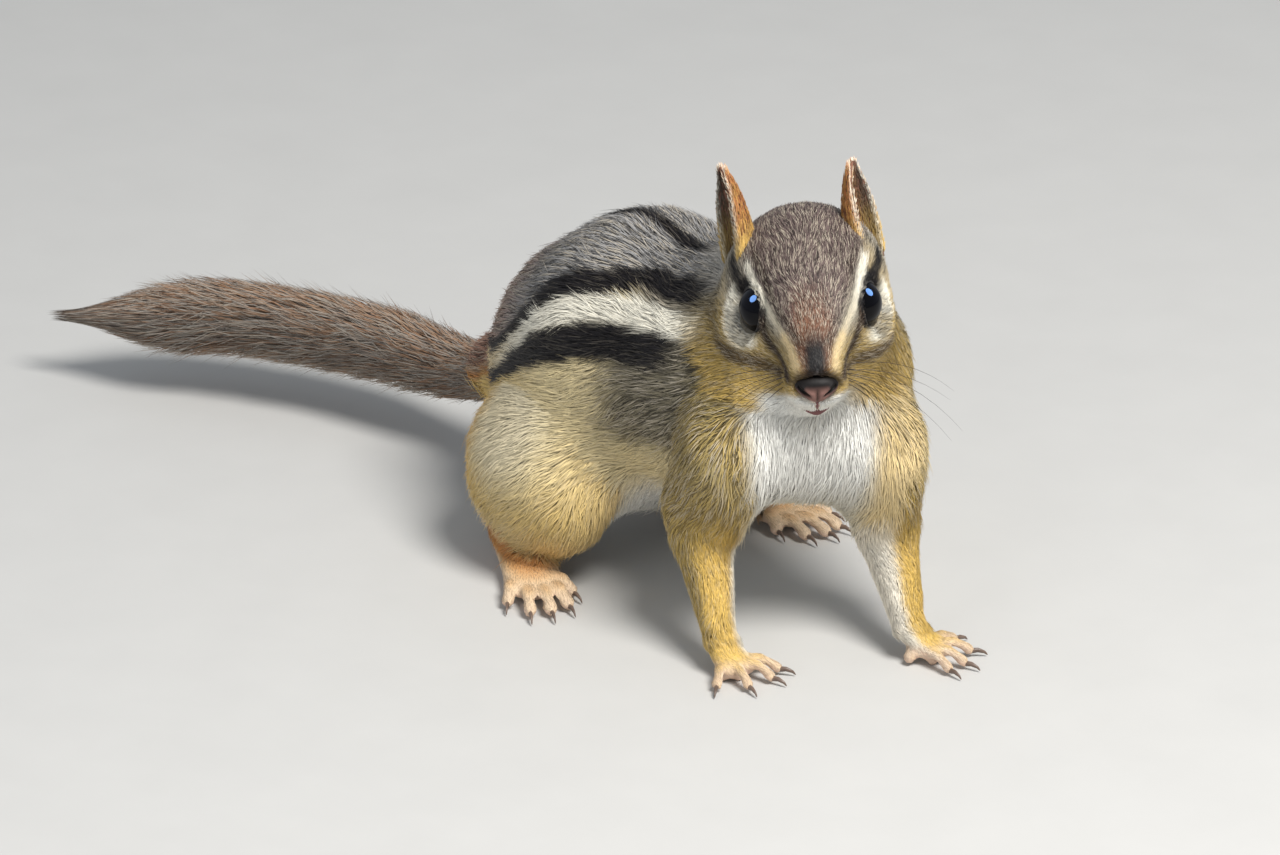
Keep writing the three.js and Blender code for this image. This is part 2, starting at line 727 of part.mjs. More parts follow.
// The gap between the lids widens outwards from the middle of the eyeball, so that the lids
// lie thin on it. Its outline is an almond with its corners towards the nose and the ear.
function lidOpening(side) {
  const halfLong = 2.05;
  const halfTall = 1.78;
  const gaze = gazeOf(side);
  const up = v3(0, 0, 1).projectOnPlane(gaze).normalize();
  const forward = v3(1, 0, 0).projectOnPlane(gaze).projectOnPlane(up).normalize();
  const outline = [];
  const CORNERS = 16;
  for (let i = 0; i < CORNERS; i++) {
    const angle = (2 * Math.PI * i) / CORNERS;
    const along = Math.cos(angle);
    const high = Math.sin(angle) * (1 - 0.12 * along * along);
    outline.push([halfLong * along, halfTall * high - 0.12 * along]);
  }
  const near = 0.4;
  const far = 5;
  const ringAt = (height) =>
    outline.map(([along, high]) =>
      eyeAt(side)
        .addScaledVector(gaze, height)
        .addScaledVector(forward, along * height)
        .addScaledVector(up, high * height),
    );
  const points = [...ringAt(near), ...ringAt(far)];
  points.push(eyeAt(side).addScaledVector(gaze, near), eyeAt(side).addScaledVector(gaze, far));
  const triangles = [];
  for (let i = 0; i < CORNERS; i++) {
    const next = (i + 1) % CORNERS;
    triangles.push(
      [i, next, CORNERS + next],
      [i, CORNERS + next, CORNERS + i],
      [2 * CORNERS, next, i],
      [2 * CORNERS + 1, CORNERS + i, CORNERS + next],
    );
  }
  return outward(points, triangles).intersect(ball(eyeAt(side), 6.2, 14, 10));
}

function onFace(from, direction) {
  const ray = direction.clone().normalize();
  return from.clone().addScaledVector(ray, distanceOut(headLocalField, from, ray, 26));
}

function groove(points, radius) {
  const stations = points.map((at, i) => {
    const rim = i === 0 || i === points.length - 1;
    return { at, wide: rim ? radius * 0.4 : radius, thick: rim ? radius * 0.4 : radius };
  });
  return loft(stations, 4, v3(0.1, 0.2, 0.97).normalize());
}

function mouthCut() {
  const from = v3(4.5, 0, -10.8);
  const line = [];
  for (let angle = -64; angle <= 64; angle += 12.8) {
    const side = Math.abs(angle) / 64;
    const dip = -2.6 + 1.5 * side * side;
    line.push(onFace(from, v3(9.5 * Math.cos(rad(angle)), 9.5 * Math.sin(rad(angle)), dip)));
  }
  const split = [0.2, -1.1, -2].map((z) => onFace(from, v3(9.5, 0, z)));
  return Manifold.union([groove(line, 0.42), groove(split, 0.32)]);
}

function nostril(side) {
  const at = (x, y, z) => v3(x, side * y, z);
  return loft(
    [
      { at: at(17.4, 0.9, -8.1), wide: 0.4, thick: 0.35, cap: 0.2 },
      { at: at(17.4, 1.6, -7.7), wide: 0.75, thick: 0.5 },
      { at: at(16.4, 3.1, -7), wide: 0.45, thick: 0.3, cap: 0.4 },
    ],
    6,
    v3(1, 0, 0.2),
  );
}

function headSolid() {
  let head = headSkin();
  const socket = EYE_DIAMETER / 2 + CUT_GAP;
  for (const side of Object.values(SIDES)) {
    const lids = ball(eyeAt(side), socket + LID_THICKNESS, 18, 12);
    head = head.add(lids).subtract(ball(eyeAt(side), socket, 16, 10)).subtract(lidOpening(side));
    head = head.subtract(nostril(side));
  }
  return head.subtract(mouthCut());
}

// An ear: a tall cup, open to the side and front, that ends in a blunt point
const EAR = {
  left: { base: v3(-11.8, 12.1, 0.4), axis: v3(-0.2, -0.13, 0.96), opening: v3(0.38, 0.92, 0) },
  right: { base: v3(-11.8, -12.5, 0.4), axis: v3(-0.2, -0.13, 0.96), opening: v3(0.5, -0.86, 0) },
};

function earShape(name) {
  const ACROSS = 7;
  const UP = 7;
  const { base, opening } = EAR[name];
  const axis = EAR[name].axis.clone().normalize();
  const across = opening.clone().cross(axis).normalize();
  const open = axis.clone().cross(across).normalize();
  const rings = [];
  for (let v = 0; v <= UP; v++) {
    const t = v / UP;
    const risen = Math.sin((t * Math.PI) / 2) ** 1.1;
    const height = EAR_HEIGHT * risen;
    const taper = Math.max(1 - risen ** 2.4, 0.01) ** 0.62;
    const halfWidth = (EAR_WIDTH / 2) * taper * lerp(0.8, 1.04, Math.min(t * 2.4, 1));
    const curl = rad(lerp(112, 52, t ** 0.7));
    const radius = halfWidth / Math.sin(Math.min(curl, Math.PI / 2));
    const thick = EAR_THICKNESS * lerp(1.15, 0.8, t);
    const ring = [[], []];
    for (let u = 0; u <= ACROSS; u++) {
      const angle = curl * ((2 * u) / ACROSS - 1);
      const cup = radius * (1 - Math.cos(angle));
      const sideways = radius * Math.sin(angle);
      const lean = 0.9 * Math.sin(t * Math.PI);
      const at = base
        .clone()
        .addScaledVector(axis, height)
        .addScaledVector(open, cup - 0.5 * EAR_WIDTH * (1 - t) - lean)
        .addScaledVector(across, sideways);
      const out = across.clone().multiplyScalar(Math.sin(angle)).addScaledVector(open, -Math.cos(angle));
      ring[0].push(at.clone().addScaledVector(out, thick / 2));
      ring[1].unshift(at.clone().addScaledVector(out, -thick / 2));
    }
    rings.push(ring.flat());
  }
  const count = rings[0].length;
  const triangles = [];
  const vertex = (r, s) => r * count + (s % count);
  for (let r = 0; r < UP; r++)
    for (let s = 0; s < count; s++)
      triangles.push(
        [vertex(r, s), vertex(r, s + 1), vertex(r + 1, s + 1)],
        [vertex(r, s), vertex(r + 1, s + 1), vertex(r + 1, s)],
      );
  for (let s = 0; s < ACROSS; s++) {
    const opposite = count - 1 - s;
    triangles.push([vertex(0, s + 1), vertex(0, s), vertex(0, opposite)]);
    triangles.push([vertex(0, s + 1), vertex(0, opposite), vertex(0, opposite - 1)]);
    triangles.push([vertex(UP, s), vertex(UP, s + 1), vertex(UP, opposite)]);
    triangles.push([vertex(UP, s + 1), vertex(UP, opposite - 1), vertex(UP, opposite)]);
  }
  return outward(rings.flat(), triangles);
}

// The tail: a slender core, and flat locks in rings along it, longest on its middle

let seed = 7;
function random() {
  seed = (seed * 1664525 + 1013904223) % 4294967296;
  return seed / 4294967296;
}

function tailSolid() {
  const curve = new THREE.CatmullRomCurve3(TAIL_LINE.slice(1));
  const length = curve.getLength();
  const CORE_STATIONS = 8;
  const coreRadius = (t) => TAIL_CORE_RADIUS * lerp(1.05, 0.7, t * t);
  const core = [];
  for (let i = 0; i <= CORE_STATIONS; i++) {
    const t = i / CORE_STATIONS;
    core.push({ at: curve.getPointAt(t), wide: coreRadius(t), thick: coreRadius(t), cap: i ? 2 : 0.01 });
  }
  const locks = [];
  const ROWS = 10;
  for (let row = 0; row < ROWS; row++) {
    const t = lerp(0.02, 0.97, row / (ROWS - 1));
    const at = curve.getPointAt(t);
    const along = curve.getTangentAt(t);
    const sideways = v3(0, 0, 1).cross(along).normalize();
    const upwards = along.clone().cross(sideways);
    const around = row > ROWS - 2 ? 5 : 6;
    const swell = 1 - 0.22 * Math.max(t - 0.8, 0) * 5;
    for (let k = 0; k < around; k++) {
      const angle = (2 * Math.PI * (k + (row % 2) / 2)) / around + 0.16 * (random() - 0.5);
      const out = sideways.clone().multiplyScalar(Math.cos(angle)).addScaledVector(upwards, Math.sin(angle));
      const across = along.clone().cross(out).normalize();
      const reach = TAIL_HAIR_RADIUS * swell * lerp(0.92, 1.04, random());
      const run = lerp(14, 18, random()) * (row > ROWS - 3 ? 0.85 : 1);
      const point = (forward, outward) =>
        at.clone().addScaledVector(along, forward).addScaledVector(out, outward);
      locks.push(
        loft(
          [
            { at: point(-0.4, coreRadius(t) * 0.45), wide: 1.8, thick: 0.9, cap: 0.1 },
            { at: point(run * 0.3, lerp(coreRadius(t), reach, 0.52)), wide: 3.1, thick: 1.1 },
            { at: point(run * 0.66, lerp(coreRadius(t), reach, 0.88)), wide: 3.2, thick: 0.9 },
            { at: point(run, reach), wide: 0.7, thick: 0.3, cap: 1.2 },
          ],
          3,
          across,
          0.75,
        ),
      );
    }
  }
  const start = TAIL_LINE[1];
  const backwards = start.clone().sub(TAIL_LINE[0]).normalize();
  return largest(
    Manifold.union([loft(core, 7, v3(0, 1, 0)), ...locks]).intersect(gapAhead(start, backwards)),
  );
}

const chipmunk = new THREE.Group();
chipmunk.name = "chipmunk";

const FUR = 0x9a8050;
const SKIN = 0xc09070;

function place(name, shape, color = FUR, roughness = 0.9) {
  const material = new THREE.MeshStandardMaterial({ color, roughness, metalness: 0 });
  const mesh = new THREE.Mesh(geometryOf(shape), material);
  mesh.name = name;
  chipmunk.add(mesh);
}

const toBody = (shape) => shape.transform([...headToBody.elements]);
const inflatedHead = toBody(headSkin(CUT_GAP));

place("torso", trunkSolid());
place("neck", neckSolid());
place("head", largest(toBody(headSolid()).intersect(gapAhead(headBack, towardsNose))));
for (const [name, side] of Object.entries(SIDES)) {
  place(`ear_${name}`, largest(toBody(earShape(name)).subtract(inflatedHead)), 0xc48a50);
  place(`eye_${name}`, toBody(ball(eyeAt(side), EYE_DIAMETER / 2, 14, 9)), 0x14100e, 0.15);
  place(`upper_arm_${name}`, upperArmSolid(name));
  place(`forearm_${name}`, forearmSolid(name));
  place(`fore_paw_${name}`, forePaw(name), SKIN);
  place(`thigh_${name}`, thighSolid(name));
  place(`shank_${name}`, shankSolid(name));
  place(`hind_foot_${name}`, largest(hindFoot(name)), SKIN);
}
place("tail", tailSolid());

const bounds = new THREE.Box3().setFromObject(chipmunk);
const middle = bounds.getCenter(v3(0, 0, 0));
chipmunk.position.set(-middle.x, -middle.y, -bounds.min.z);

export default chipmunk;
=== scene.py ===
"""Dresses a life-size eastern chipmunk's solids: skin, coat, eyes, nose, ears, claws, whiskers and tail.

Lengths are in millimetres in the stance frame: the origin is on the floor between the fore paws, X is
forward, Y is to the animal's left and Z is up. Meshes are made in metres, in the solids' own frame.
"""

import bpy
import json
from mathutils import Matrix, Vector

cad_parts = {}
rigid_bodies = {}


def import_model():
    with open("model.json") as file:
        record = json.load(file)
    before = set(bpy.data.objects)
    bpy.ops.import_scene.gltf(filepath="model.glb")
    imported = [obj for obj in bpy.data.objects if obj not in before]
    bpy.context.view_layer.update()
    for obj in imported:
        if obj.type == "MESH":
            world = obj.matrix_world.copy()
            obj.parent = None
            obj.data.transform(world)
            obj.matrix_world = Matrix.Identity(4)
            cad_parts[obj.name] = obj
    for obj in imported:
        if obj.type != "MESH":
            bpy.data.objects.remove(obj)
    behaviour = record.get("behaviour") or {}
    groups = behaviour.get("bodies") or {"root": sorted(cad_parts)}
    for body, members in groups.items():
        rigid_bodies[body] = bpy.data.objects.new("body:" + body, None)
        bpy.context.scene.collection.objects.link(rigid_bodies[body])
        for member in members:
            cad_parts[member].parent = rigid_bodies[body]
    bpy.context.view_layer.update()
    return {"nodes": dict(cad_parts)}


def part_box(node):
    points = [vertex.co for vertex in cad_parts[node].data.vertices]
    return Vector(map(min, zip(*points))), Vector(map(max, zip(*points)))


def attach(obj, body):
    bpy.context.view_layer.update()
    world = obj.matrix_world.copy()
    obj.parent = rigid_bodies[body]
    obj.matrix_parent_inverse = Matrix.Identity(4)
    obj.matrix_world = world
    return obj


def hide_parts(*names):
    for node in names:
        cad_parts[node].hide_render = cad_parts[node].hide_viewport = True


bl_info = {
    "name": "Life-Size Chipmunk",
    "version": (1, 0, 0),
    "blender": (4, 5, 0),
    "location": "View3D > Sidebar > Chipmunk",
    "description": "Skin, coat, eyes, claws and whiskers on the solids of a standing chipmunk",
    "category": "Add Mesh",
}

import json
import math
from types import SimpleNamespace

import bpy
import numpy as np
from bpy.props import FloatProperty, FloatVectorProperty, IntProperty, PointerProperty
from mathutils import Matrix, Vector
from mathutils.bvhtree import BVHTree

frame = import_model()

MM = 0.001
SIDES = {"left": 1, "right": -1}

# The head's place and its turn in degrees: about Z, Y and X
HEAD_AT = np.array((-7.3, 0.9, 64.0))
HEAD_YAW, HEAD_PITCH, HEAD_ROLL = -32.5, 8.0, 2.5

# Eyes, in the head's frame: the origin is midway between them and the nose points along X
EYE_RADIUS = 4.4
EYE_SIDEWAYS = 8.1
EYE_DROP = 0.6
GAZE = (0.45, 0.87, 0.16)

WRISTS = {"left": (9.3, 10.8, 5.6), "right": (-5.5, -19.2, 5.6)}
ELBOWS = {"left": (-4.0, 14.0, 24.5), "right": (-19.5, -14.5, 25.0)}
SHOULDERS = {"left": (-1.0, 11.5, 37.5), "right": (-11.0, -13.0, 38.0)}
FORE_HEADINGS = {"left": 40, "right": 9}
HIPS = {"left": (-60.0, 20.0, 18.0), "right": (-60.0, -20.3, 18.0)}
HOCKS = {"left": (-71.0, 22.5, 7.5), "right": (-70.5, -20.0, 7.5)}
HEELS = {"left": (-71.0, 23.5, 0.0), "right": (-69.6, -20.5, 0.0)}
HIND_HEADINGS = {"left": 13, "right": -22}
FORE_PAW_LENGTH = 13.4
HIND_FOOT_LENGTH = 34.0
CLAW_LENGTH = 2.6

# Toes in a foot's own frame, X forward, Y outward, Z up from the floor: root, reach with the claw, and turn
FORE_TOES = (
    ((3.6, -2.5, 2.0), FORE_PAW_LENGTH - 4.4, -33),
    ((4.9, -0.9, 2.1), FORE_PAW_LENGTH - 4.6, -13),
    ((4.9, 1.7, 2.1), FORE_PAW_LENGTH - 4.8, 16),
    ((3.2, 3.1, 2.0), FORE_PAW_LENGTH - 5.2, 52),
)
HIND_TOES = (
    ((0.54 * HIND_FOOT_LENGTH, -4.4, 1.9), 0.26 * HIND_FOOT_LENGTH, -22),
    ((0.64 * HIND_FOOT_LENGTH, -3.4, 2.0), 0.31 * HIND_FOOT_LENGTH, -10),
    ((0.67 * HIND_FOOT_LENGTH, -1.0, 2.0), 0.33 * HIND_FOOT_LENGTH, -1),
    ((0.66 * HIND_FOOT_LENGTH, 1.6, 2.0), 0.33 * HIND_FOOT_LENGTH, 7),
    ((0.57 * HIND_FOOT_LENGTH, 3.7, 1.9), 0.28 * HIND_FOOT_LENGTH, 17),
)
FORE_TOE_RADIUS = 1.05
HIND_TOE_RADIUS = 1.25

# The tail's line from where its long hair starts to the end of its bones
TAIL_LINE = np.array(
    ((-101, 0, 18.5), (-114, -1.5, 16), (-135, -7, 15.5), (-157, -20, 15.5), (-174, -36, 14))
)
TAIL_CORE_RADIUS = 3.6
TAIL_HAIR_RADIUS = 8.0

# Ears in the head's frame: the base, the way up and the way out of the cup
EAR_HEIGHT = 19.0
EAR_WIDTH = 9.4
EARS = {
    "left": ((-11.8, 12.1, 0.4), (-0.2, -0.13, 0.96), (0.38, 0.92, 0.0)),
    "right": ((-11.8, -12.5, 0.4), (-0.2, -0.13, 0.96), (0.3, -0.95, 0.0)),
}

# The nose pad, the mouth and where the whiskers start, in the head's frame
NOSE_AT = np.array((15.6, 0.0, -7.6))
NOSE_HALF = np.array((2.1, 3.8, 2.8))
MOUTH_FROM = (4.5, 0.0, -10.8)
MOUTH_HALF_TURN = 26
PAD_AT = (11.6, 5.6, -8.6)

# Lines of the face's markings in the head's frame, on its left half
FACE_LINES = {
    "behind the eye": ((-5.5, 14.4, -1.8), (-9.5, 14.2, -0.6), (-13, 14.0, 1.5)),
    "above the eye": ((-9.6, 12.4, 3.2), (-5, 11.7, 2.8), (-1.5, 10.9, 2.6)),
    "before the eye": (
        (4.2, 8.9, -0.4), (5.7, 7.9, -1.8), (7.6, 6.7, -4), (10.4, 5.5, -5.6), (13.6, 4.6, -6.8)
    ),
    "cheek": (
        (-9.5, 16.3, -5), (-4.5, 16.4, -7.4), (0, 14.8, -8.3),
        (3.5, 12.2, -8.0), (6.4, 8.6, -7.7), (9.8, 5.9, -7.9),
    ),
    "brow": (
        (-5, 9.9, 5.2), (0, 8.9, 4.2), (3.5, 7.9, 3.2), (5.8, 6.9, 1.9), (8.2, 5.9, 0.4), (10.3, 4.8, -1.1)
    ),
    "brow end": ((10.3, 4.8, -1.1), (12.8, 3.8, -2.4), (14.6, 3.2, -4.4)),
    "inner": (
        (-5, 8.3, 6.5), (0, 7.2, 5.7), (3.5, 6.2, 4.6),
        (5.8, 5.2, 3.3), (8.2, 4.3, 1.9), (10.3, 3.2, 0.4), (12.6, 2.2, -1),
    ),
}

# What the camera sees: the photograph's size, and the pixel of the point between the fore paws
PHOTO_WIDTH = 1280
PHOTO_HEIGHT = 855
STANCE_PIXEL = (828.0, 654.5)
PIXELS_PER_MM = 5.7
CAMERA_DISTANCE = 1700.0
CAMERA_AZIMUTH = 55.0
CAMERA_ELEVATION = 23.0
SENSOR_WIDTH = 36.0
FLOOR_HALF = 3000.0

# Lights: place, size and colour. The glints, which only the eyes mirror, face the head, the others this point
LIT_MIDDLE = (-30, 0, 30)
LIGHTS = {
    "key": ((470, -10, 800), 400, (1.0, 0.98, 0.95)),
    "fill": ((300, -700, 320), 420, (0.95, 0.97, 1.0)),
    "glint_right": ((-179, -310, 416), 270, (0.22, 0.45, 1.0)),
    "glint_left": ((155, 346, 397), 270, (0.22, 0.45, 1.0)),
}

# For each node of flesh: coat depth, hair length, tuft width and tufts per square millimetre
COATS = {
    "torso": (2.3, 6.2, 0.24, 8.0),
    "neck": (2.0, 5.4, 0.22, 10.0),
    "head": (1.05, 3.0, 0.15, 24.0),
    "upper_arm": (1.7, 4.9, 0.22, 10.5),
    "forearm": (0.9, 3.3, 0.18, 16.0),
    "fore_paw": (0.12, 1.5, 0.12, 26.0),
    "thigh": (2.1, 5.8, 0.24, 8.6),
    "shank": (1.1, 3.6, 0.2, 12.5),
    "hind_foot": (0.12, 1.6, 0.13, 20.0),
}
COAT_REGIONS = {"coat_head": ("head",), "coat_legs": ("forearm", "fore_paw", "shank", "hind_foot")}
PAWS = ("fore_paw", "hind_foot")
FLESH = [name for name in frame["nodes"] if not name.startswith(("eye_", "ear_", "tail"))]
COAT_TABLE = np.array([COATS[name.removesuffix("_left").removesuffix("_right")] for name in FLESH])

# The flesh is swollen, which closes the cuts between its nodes, and remade from cells of this size
SWELL = 0.3
VOXEL = 0.6

# The side of a tuft's patch in the unwrap, and the most triangles in a piece of coat
PATCH = 0.003
PIECE_TRIANGLES = 195_000


# Small helpers on arrays


def size(v):
    return np.linalg.norm(v, axis=-1)


def unit(v):
    return v / np.maximum(np.linalg.norm(v, axis=-1, keepdims=True), 1e-12)


def dot(a, b):
    return np.sum(a * b, axis=-1, keepdims=True)


def level(v, normal):
    """Unit vectors along v with no part along the normal"""
    return unit(v - normal * dot(v, normal))


def ramp(low, high, x):
    """A smooth rise from 0 at low to 1 at high"""
    t = np.clip((x - low) / (high - low), 0.0, 1.0)
    return t * t * (3 - 2 * t)


def band(centre, half, soft, x):
    """1 within half of the centre and 0 further out, with a soft edge"""
    return ramp(half + soft, half - soft, np.abs(x - centre))


def mix(a, b, t):
    return a + (b - a) * t


def tone(*shown):
    """A display colour, 0 to 255, as linear light"""
    shown = np.array(shown) / 255.0
    return tuple(np.where(shown <= 0.04045, shown / 12.92, ((shown + 0.055) / 1.055) ** 2.4).tolist())


def heading(degrees):
    return math.cos(math.radians(degrees)), math.sin(math.radians(degrees))


def rotation(degrees, axis):
    return Matrix.Rotation(math.radians(degrees), 3, axis)


HEAD_TURN = np.array(rotation(HEAD_YAW, "Z") @ rotation(HEAD_PITCH, "Y") @ rotation(HEAD_ROLL, "X"))


def from_head(points):
    return np.asarray(points, float) @ HEAD_TURN.T + HEAD_AT


def to_head(points):
    return (points - HEAD_AT) @ HEAD_TURN


def eye_centre(side):
    return np.array((0.0, side * EYE_SIDEWAYS, -EYE_DROP))


# From the stance frame to the solids' frame, by the left eye, which is in both
EYE_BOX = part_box("eye_left")
SHIFT = np.array((EYE_BOX[0] + EYE_BOX[1]) / 2) / MM - from_head(eye_centre(1))


def to_solids(points):
    return (np.asarray(points, float) + SHIFT) * MM


def line_distance(points, line):
    """Distance of each point from a line of straight stretches"""
    line = np.array(line, float)
    found = []
    for a, b in zip(line[:-1], line[1:]):
        t = np.clip((points - a) @ (b - a) / ((b - a) @ (b - a)), 0, 1)
        found.append(size(points - (a + t[:, None] * (b - a))))
    return np.min(found, axis=0)


def interpolated(x, places, values):
    return np.stack([np.interp(x, places, column) for column in values.T], axis=1)


def curve_points(knots, count):
    """Points evenly spaced along a smooth curve through the knots"""
    padded = np.vstack((2 * knots[0] - knots[1], knots, 2 * knots[-1] - knots[-2]))
    dense = []
    for i in range(len(knots) - 1):
        p0, p1, p2, p3 = padded[i : i + 4]
        t = np.linspace(0, 1, 40, endpoint=i == len(knots) - 2)[:, None]
        square, cube = 2 * p0 - 5 * p1 + 4 * p2 - p3, 3 * p1 - p0 - 3 * p2 + p3
        dense.append(0.5 * (2 * p1 + (p2 - p0) * t + square * t**2 + cube * t**3))
    dense = np.vstack(dense)
    run = np.append(0, np.cumsum(size(np.diff(dense, axis=0))))
    return interpolated(np.linspace(0, run[-1], count), run, dense)


# Settings that a user would change


def colour_property(name, about, *shown):
    limits = {"min": 0, "max": 1, "size": 3}
    return FloatVectorProperty(name=name, description=about, default=tone(*shown), subtype="COLOR", **limits)


def share_property(name, about, default, low, high):
    return FloatProperty(name=name, description=about, default=default, min=low, max=high, subtype="FACTOR")


def count_property(name, about, default, low=0):
    return IntProperty(name=name, description=about, default=default, min=low)


def power_property(name, about, default):
    return FloatProperty(name=name, description=about, default=default, min=0.0, unit="POWER")


class CoatColours(bpy.types.PropertyGroup):
    """Colours of the coat's markings"""

    flank: colour_property("Flank", "Sides of the body and thighs", 240, 220, 170)
    gold: colour_property("Gold", "Forelegs, cheeks and the back of the thighs", 236, 196, 104)
    rufous: colour_property("Rufous", "Rump, ankles and bridge of the nose", 188, 110, 52)
    olive: colour_property("Olive", "Shoulders and neck", 150, 134, 86)
    grey: colour_property("Grey", "Back beside the middle stripe", 158, 156, 154)
    black: colour_property("Black", "Dark stripes", 24, 21, 23)
    cream: colour_property("Cream", "Pale stripes of the back and face", 246, 240, 222)
    white: colour_property("White", "Throat, chest and belly", 246, 244, 236)
    cap: colour_property("Cap", "Top of the head", 110, 94, 90)
    brown: colour_property("Brown", "Dark lines of the face", 76, 58, 44)
    pink: colour_property("Pink", "Short hair of the toes", 224, 198, 170)
    rust: colour_property("Rust", "Middle of the tail", 172, 142, 116)
    frost: colour_property("Frost", "Tips of the tail hair", 196, 190, 180)


class CoatSettings(bpy.types.PropertyGroup):
    """How the coat is grown"""

    length: share_property("Length", "Share of each hair's own length", 1.0, 0.2, 2.0)
    density: share_property("Density", "Share of the tufts that are grown", 1.0, 0.05, 1.5)
    seed: count_property("Seed", "Start of the random draws", 11)
    tail_tufts: count_property("Tail Tufts", "Tufts on the tail", 12000, 100)
    ear_tufts: count_property("Ear Tufts", "Tufts on each ear", 3600, 10)
    whiskers: count_property("Whiskers", "Whiskers on each side of the face", 8)


class StageSettings(bpy.types.PropertyGroup):
    """Floor and light"""

    floor_colour: colour_property("Floor", "Colour of the floor", 192, 191, 188)
    key: power_property("Key", "Strength of the main light", 12.2)
    fill: power_property("Fill", "Strength of the side light", 0.9)
    glint: power_property("Glint", "Strength of each light that only the eyes mirror", 13.0)
    sky: share_property("Sky", "Strength of the even light from all sides", 0.44, 0.0, 10.0)


def palette():
    colours = bpy.context.scene.chipmunk_colours
    return SimpleNamespace(**{name: np.array(getattr(colours, name)) for name in CoatColours.__annotations__})


def draws(offset):
    """Random draws that differ from one step to the next"""
    return np.random.default_rng(bpy.context.scene.chipmunk_coat.seed + offset)


# Meshes


def mesh_object(name, points, faces, material, smooth=True):
    """A mesh object from points in the stance frame and faces with the same number of corners"""
    faces = np.asarray(faces, np.int32)
    mesh = bpy.data.meshes.new(name)
    mesh.vertices.add(len(points))
    mesh.vertices.foreach_set("co", to_solids(points).astype(np.float32).ravel())
    mesh.loops.add(faces.size)
    mesh.loops.foreach_set("vertex_index", faces.ravel())
    mesh.polygons.add(len(faces))
    mesh.polygons.foreach_set("loop_start", np.arange(0, faces.size, faces.shape[1], dtype=np.int32))
    mesh.polygons.foreach_set("use_smooth", np.full(len(faces), smooth))
    mesh.update(calc_edges=True)
    mesh.materials.append(material)
    made = bpy.data.objects.new(name, mesh)
    bpy.context.scene.collection.objects.link(made)
    return made


def dress(name, shape, material, slot, *replaced):
    """Adds a piece that rides on the body, from its points and faces"""
    made = mesh_object(name, *shape, material)
    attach(made, "root")
    if replaced:
        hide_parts(*replaced)
    return made


def read(items, field, width, kind=np.float32):
    """One field of all of a mesh's points, corners or faces"""
    values = np.empty(len(items) * width, kind)
    items.foreach_get(field, values)
    return values.reshape(-1, width)


def put_attribute(mesh, name, kind, field, values):
    layer = mesh.attributes.new(name, kind, "POINT")
    layer.data.foreach_set(field, np.asarray(values, np.float32).ravel())


def put_markings(mesh, colours):
    put_attribute(mesh, "markings", "FLOAT_COLOR", "color", np.c_[colours, np.ones(len(colours))])


def put_unwrap(mesh, faces, uv):
    layer = mesh.uv_layers.new(name="OFBake")
    layer.data.foreach_set("uv", uv[faces.ravel()].astype(np.float32).ravel())


def ring_grid(rows, around, closed=False):
    """Quads that join rows of points that close on themselves, and the last row to the first if closed"""
    r, s = np.meshgrid(np.arange(rows - 1 + closed), np.arange(around), indexing="ij")
    a = (r * around + s).ravel()
    b = (r * around + (s + 1) % around).ravel()
    return np.c_[a, b, b + around, a + around] % (rows * around)


def loft(centres, wide, thick, side_vector, around=16):
    """A closed round form along a line, as points and triangles, with wide along the side vector"""
    centres = np.asarray(centres, float)
    ahead = unit(np.gradient(centres, axis=0))
    up = unit(np.cross(ahead, side_vector))
    side = np.cross(up, ahead)
    angle = np.linspace(0, 2 * np.pi, around, endpoint=False)
    aside = side[:, None] * (np.asarray(wide)[:, None] * np.cos(angle))[..., None]
    above = up[:, None] * (np.asarray(thick)[:, None] * np.sin(angle))[..., None]
    rings = centres[:, None] + aside + above
    points = np.vstack((rings.reshape(-1, 3), centres[:1], centres[-1:]))
    quads = ring_grid(len(centres), around)
    s = np.arange(around)
    after = (s + 1) % around
    last = (len(centres) - 1) * around
    start_cap = np.c_[np.full(around, last + around), after, s]
    end_cap = np.c_[np.full(around, last + around + 1), last + s, last + after]
    return points, np.vstack((quads[:, [0, 1, 2]], quads[:, [0, 2, 3]], start_cap, end_cap))


def ball(centre, radius, around=24, down=16):
    turn = np.linspace(-1, 1, down + 1) * np.pi / 2
    centres = np.array(centre) + np.sin(turn)[:, None] * np.array((0, 0, radius))
    return loft(centres, np.cos(turn) * radius, np.cos(turn) * radius, (0, 1, 0), around)


def joined(forms):
    """Points and faces of several forms as one"""
    starts = np.cumsum([0] + [len(points) for points, _ in forms])
    faces = [faces + start for (_, faces), start in zip(forms, starts)]
    return np.vstack([points for points, _ in forms]), np.vstack(faces)


# Toes and feet, in a foot's own frame


def toe_line(root, reach, turn, radius):
    """The root, tip and heading of a toe without its claw"""
    ahead = np.array((*heading(turn), 0.0))
    tip = np.array(root) + ahead * (reach - CLAW_LENGTH)
    tip[2] = radius
    return np.array(root), tip, ahead


def toe(root, reach, turn, radius):
    """A toe with raised knuckles"""
    start, tip, _ = toe_line(root, reach, turn, radius)
    share = np.array((-0.25, 0.0, 0.22, 0.42, 0.6, 0.74, 0.88, 0.98, 1.03))
    thick = np.array((0.9, 1.05, 0.92, 1.02, 0.84, 0.95, 1.1, 0.86, 0.35)) * radius
    line = start + share[:, None] * (tip - start)
    arch = 1.7 * np.sin(np.pi * np.clip(share * 0.95 + 0.05, 0, 1))
    line[:, 2] = mix(start[2], radius * 0.95, np.clip(share, 0, 1)) + arch * (1 - 0.5 * share)
    return loft(line, thick, thick * 0.96, (0, 1, 0), 14)


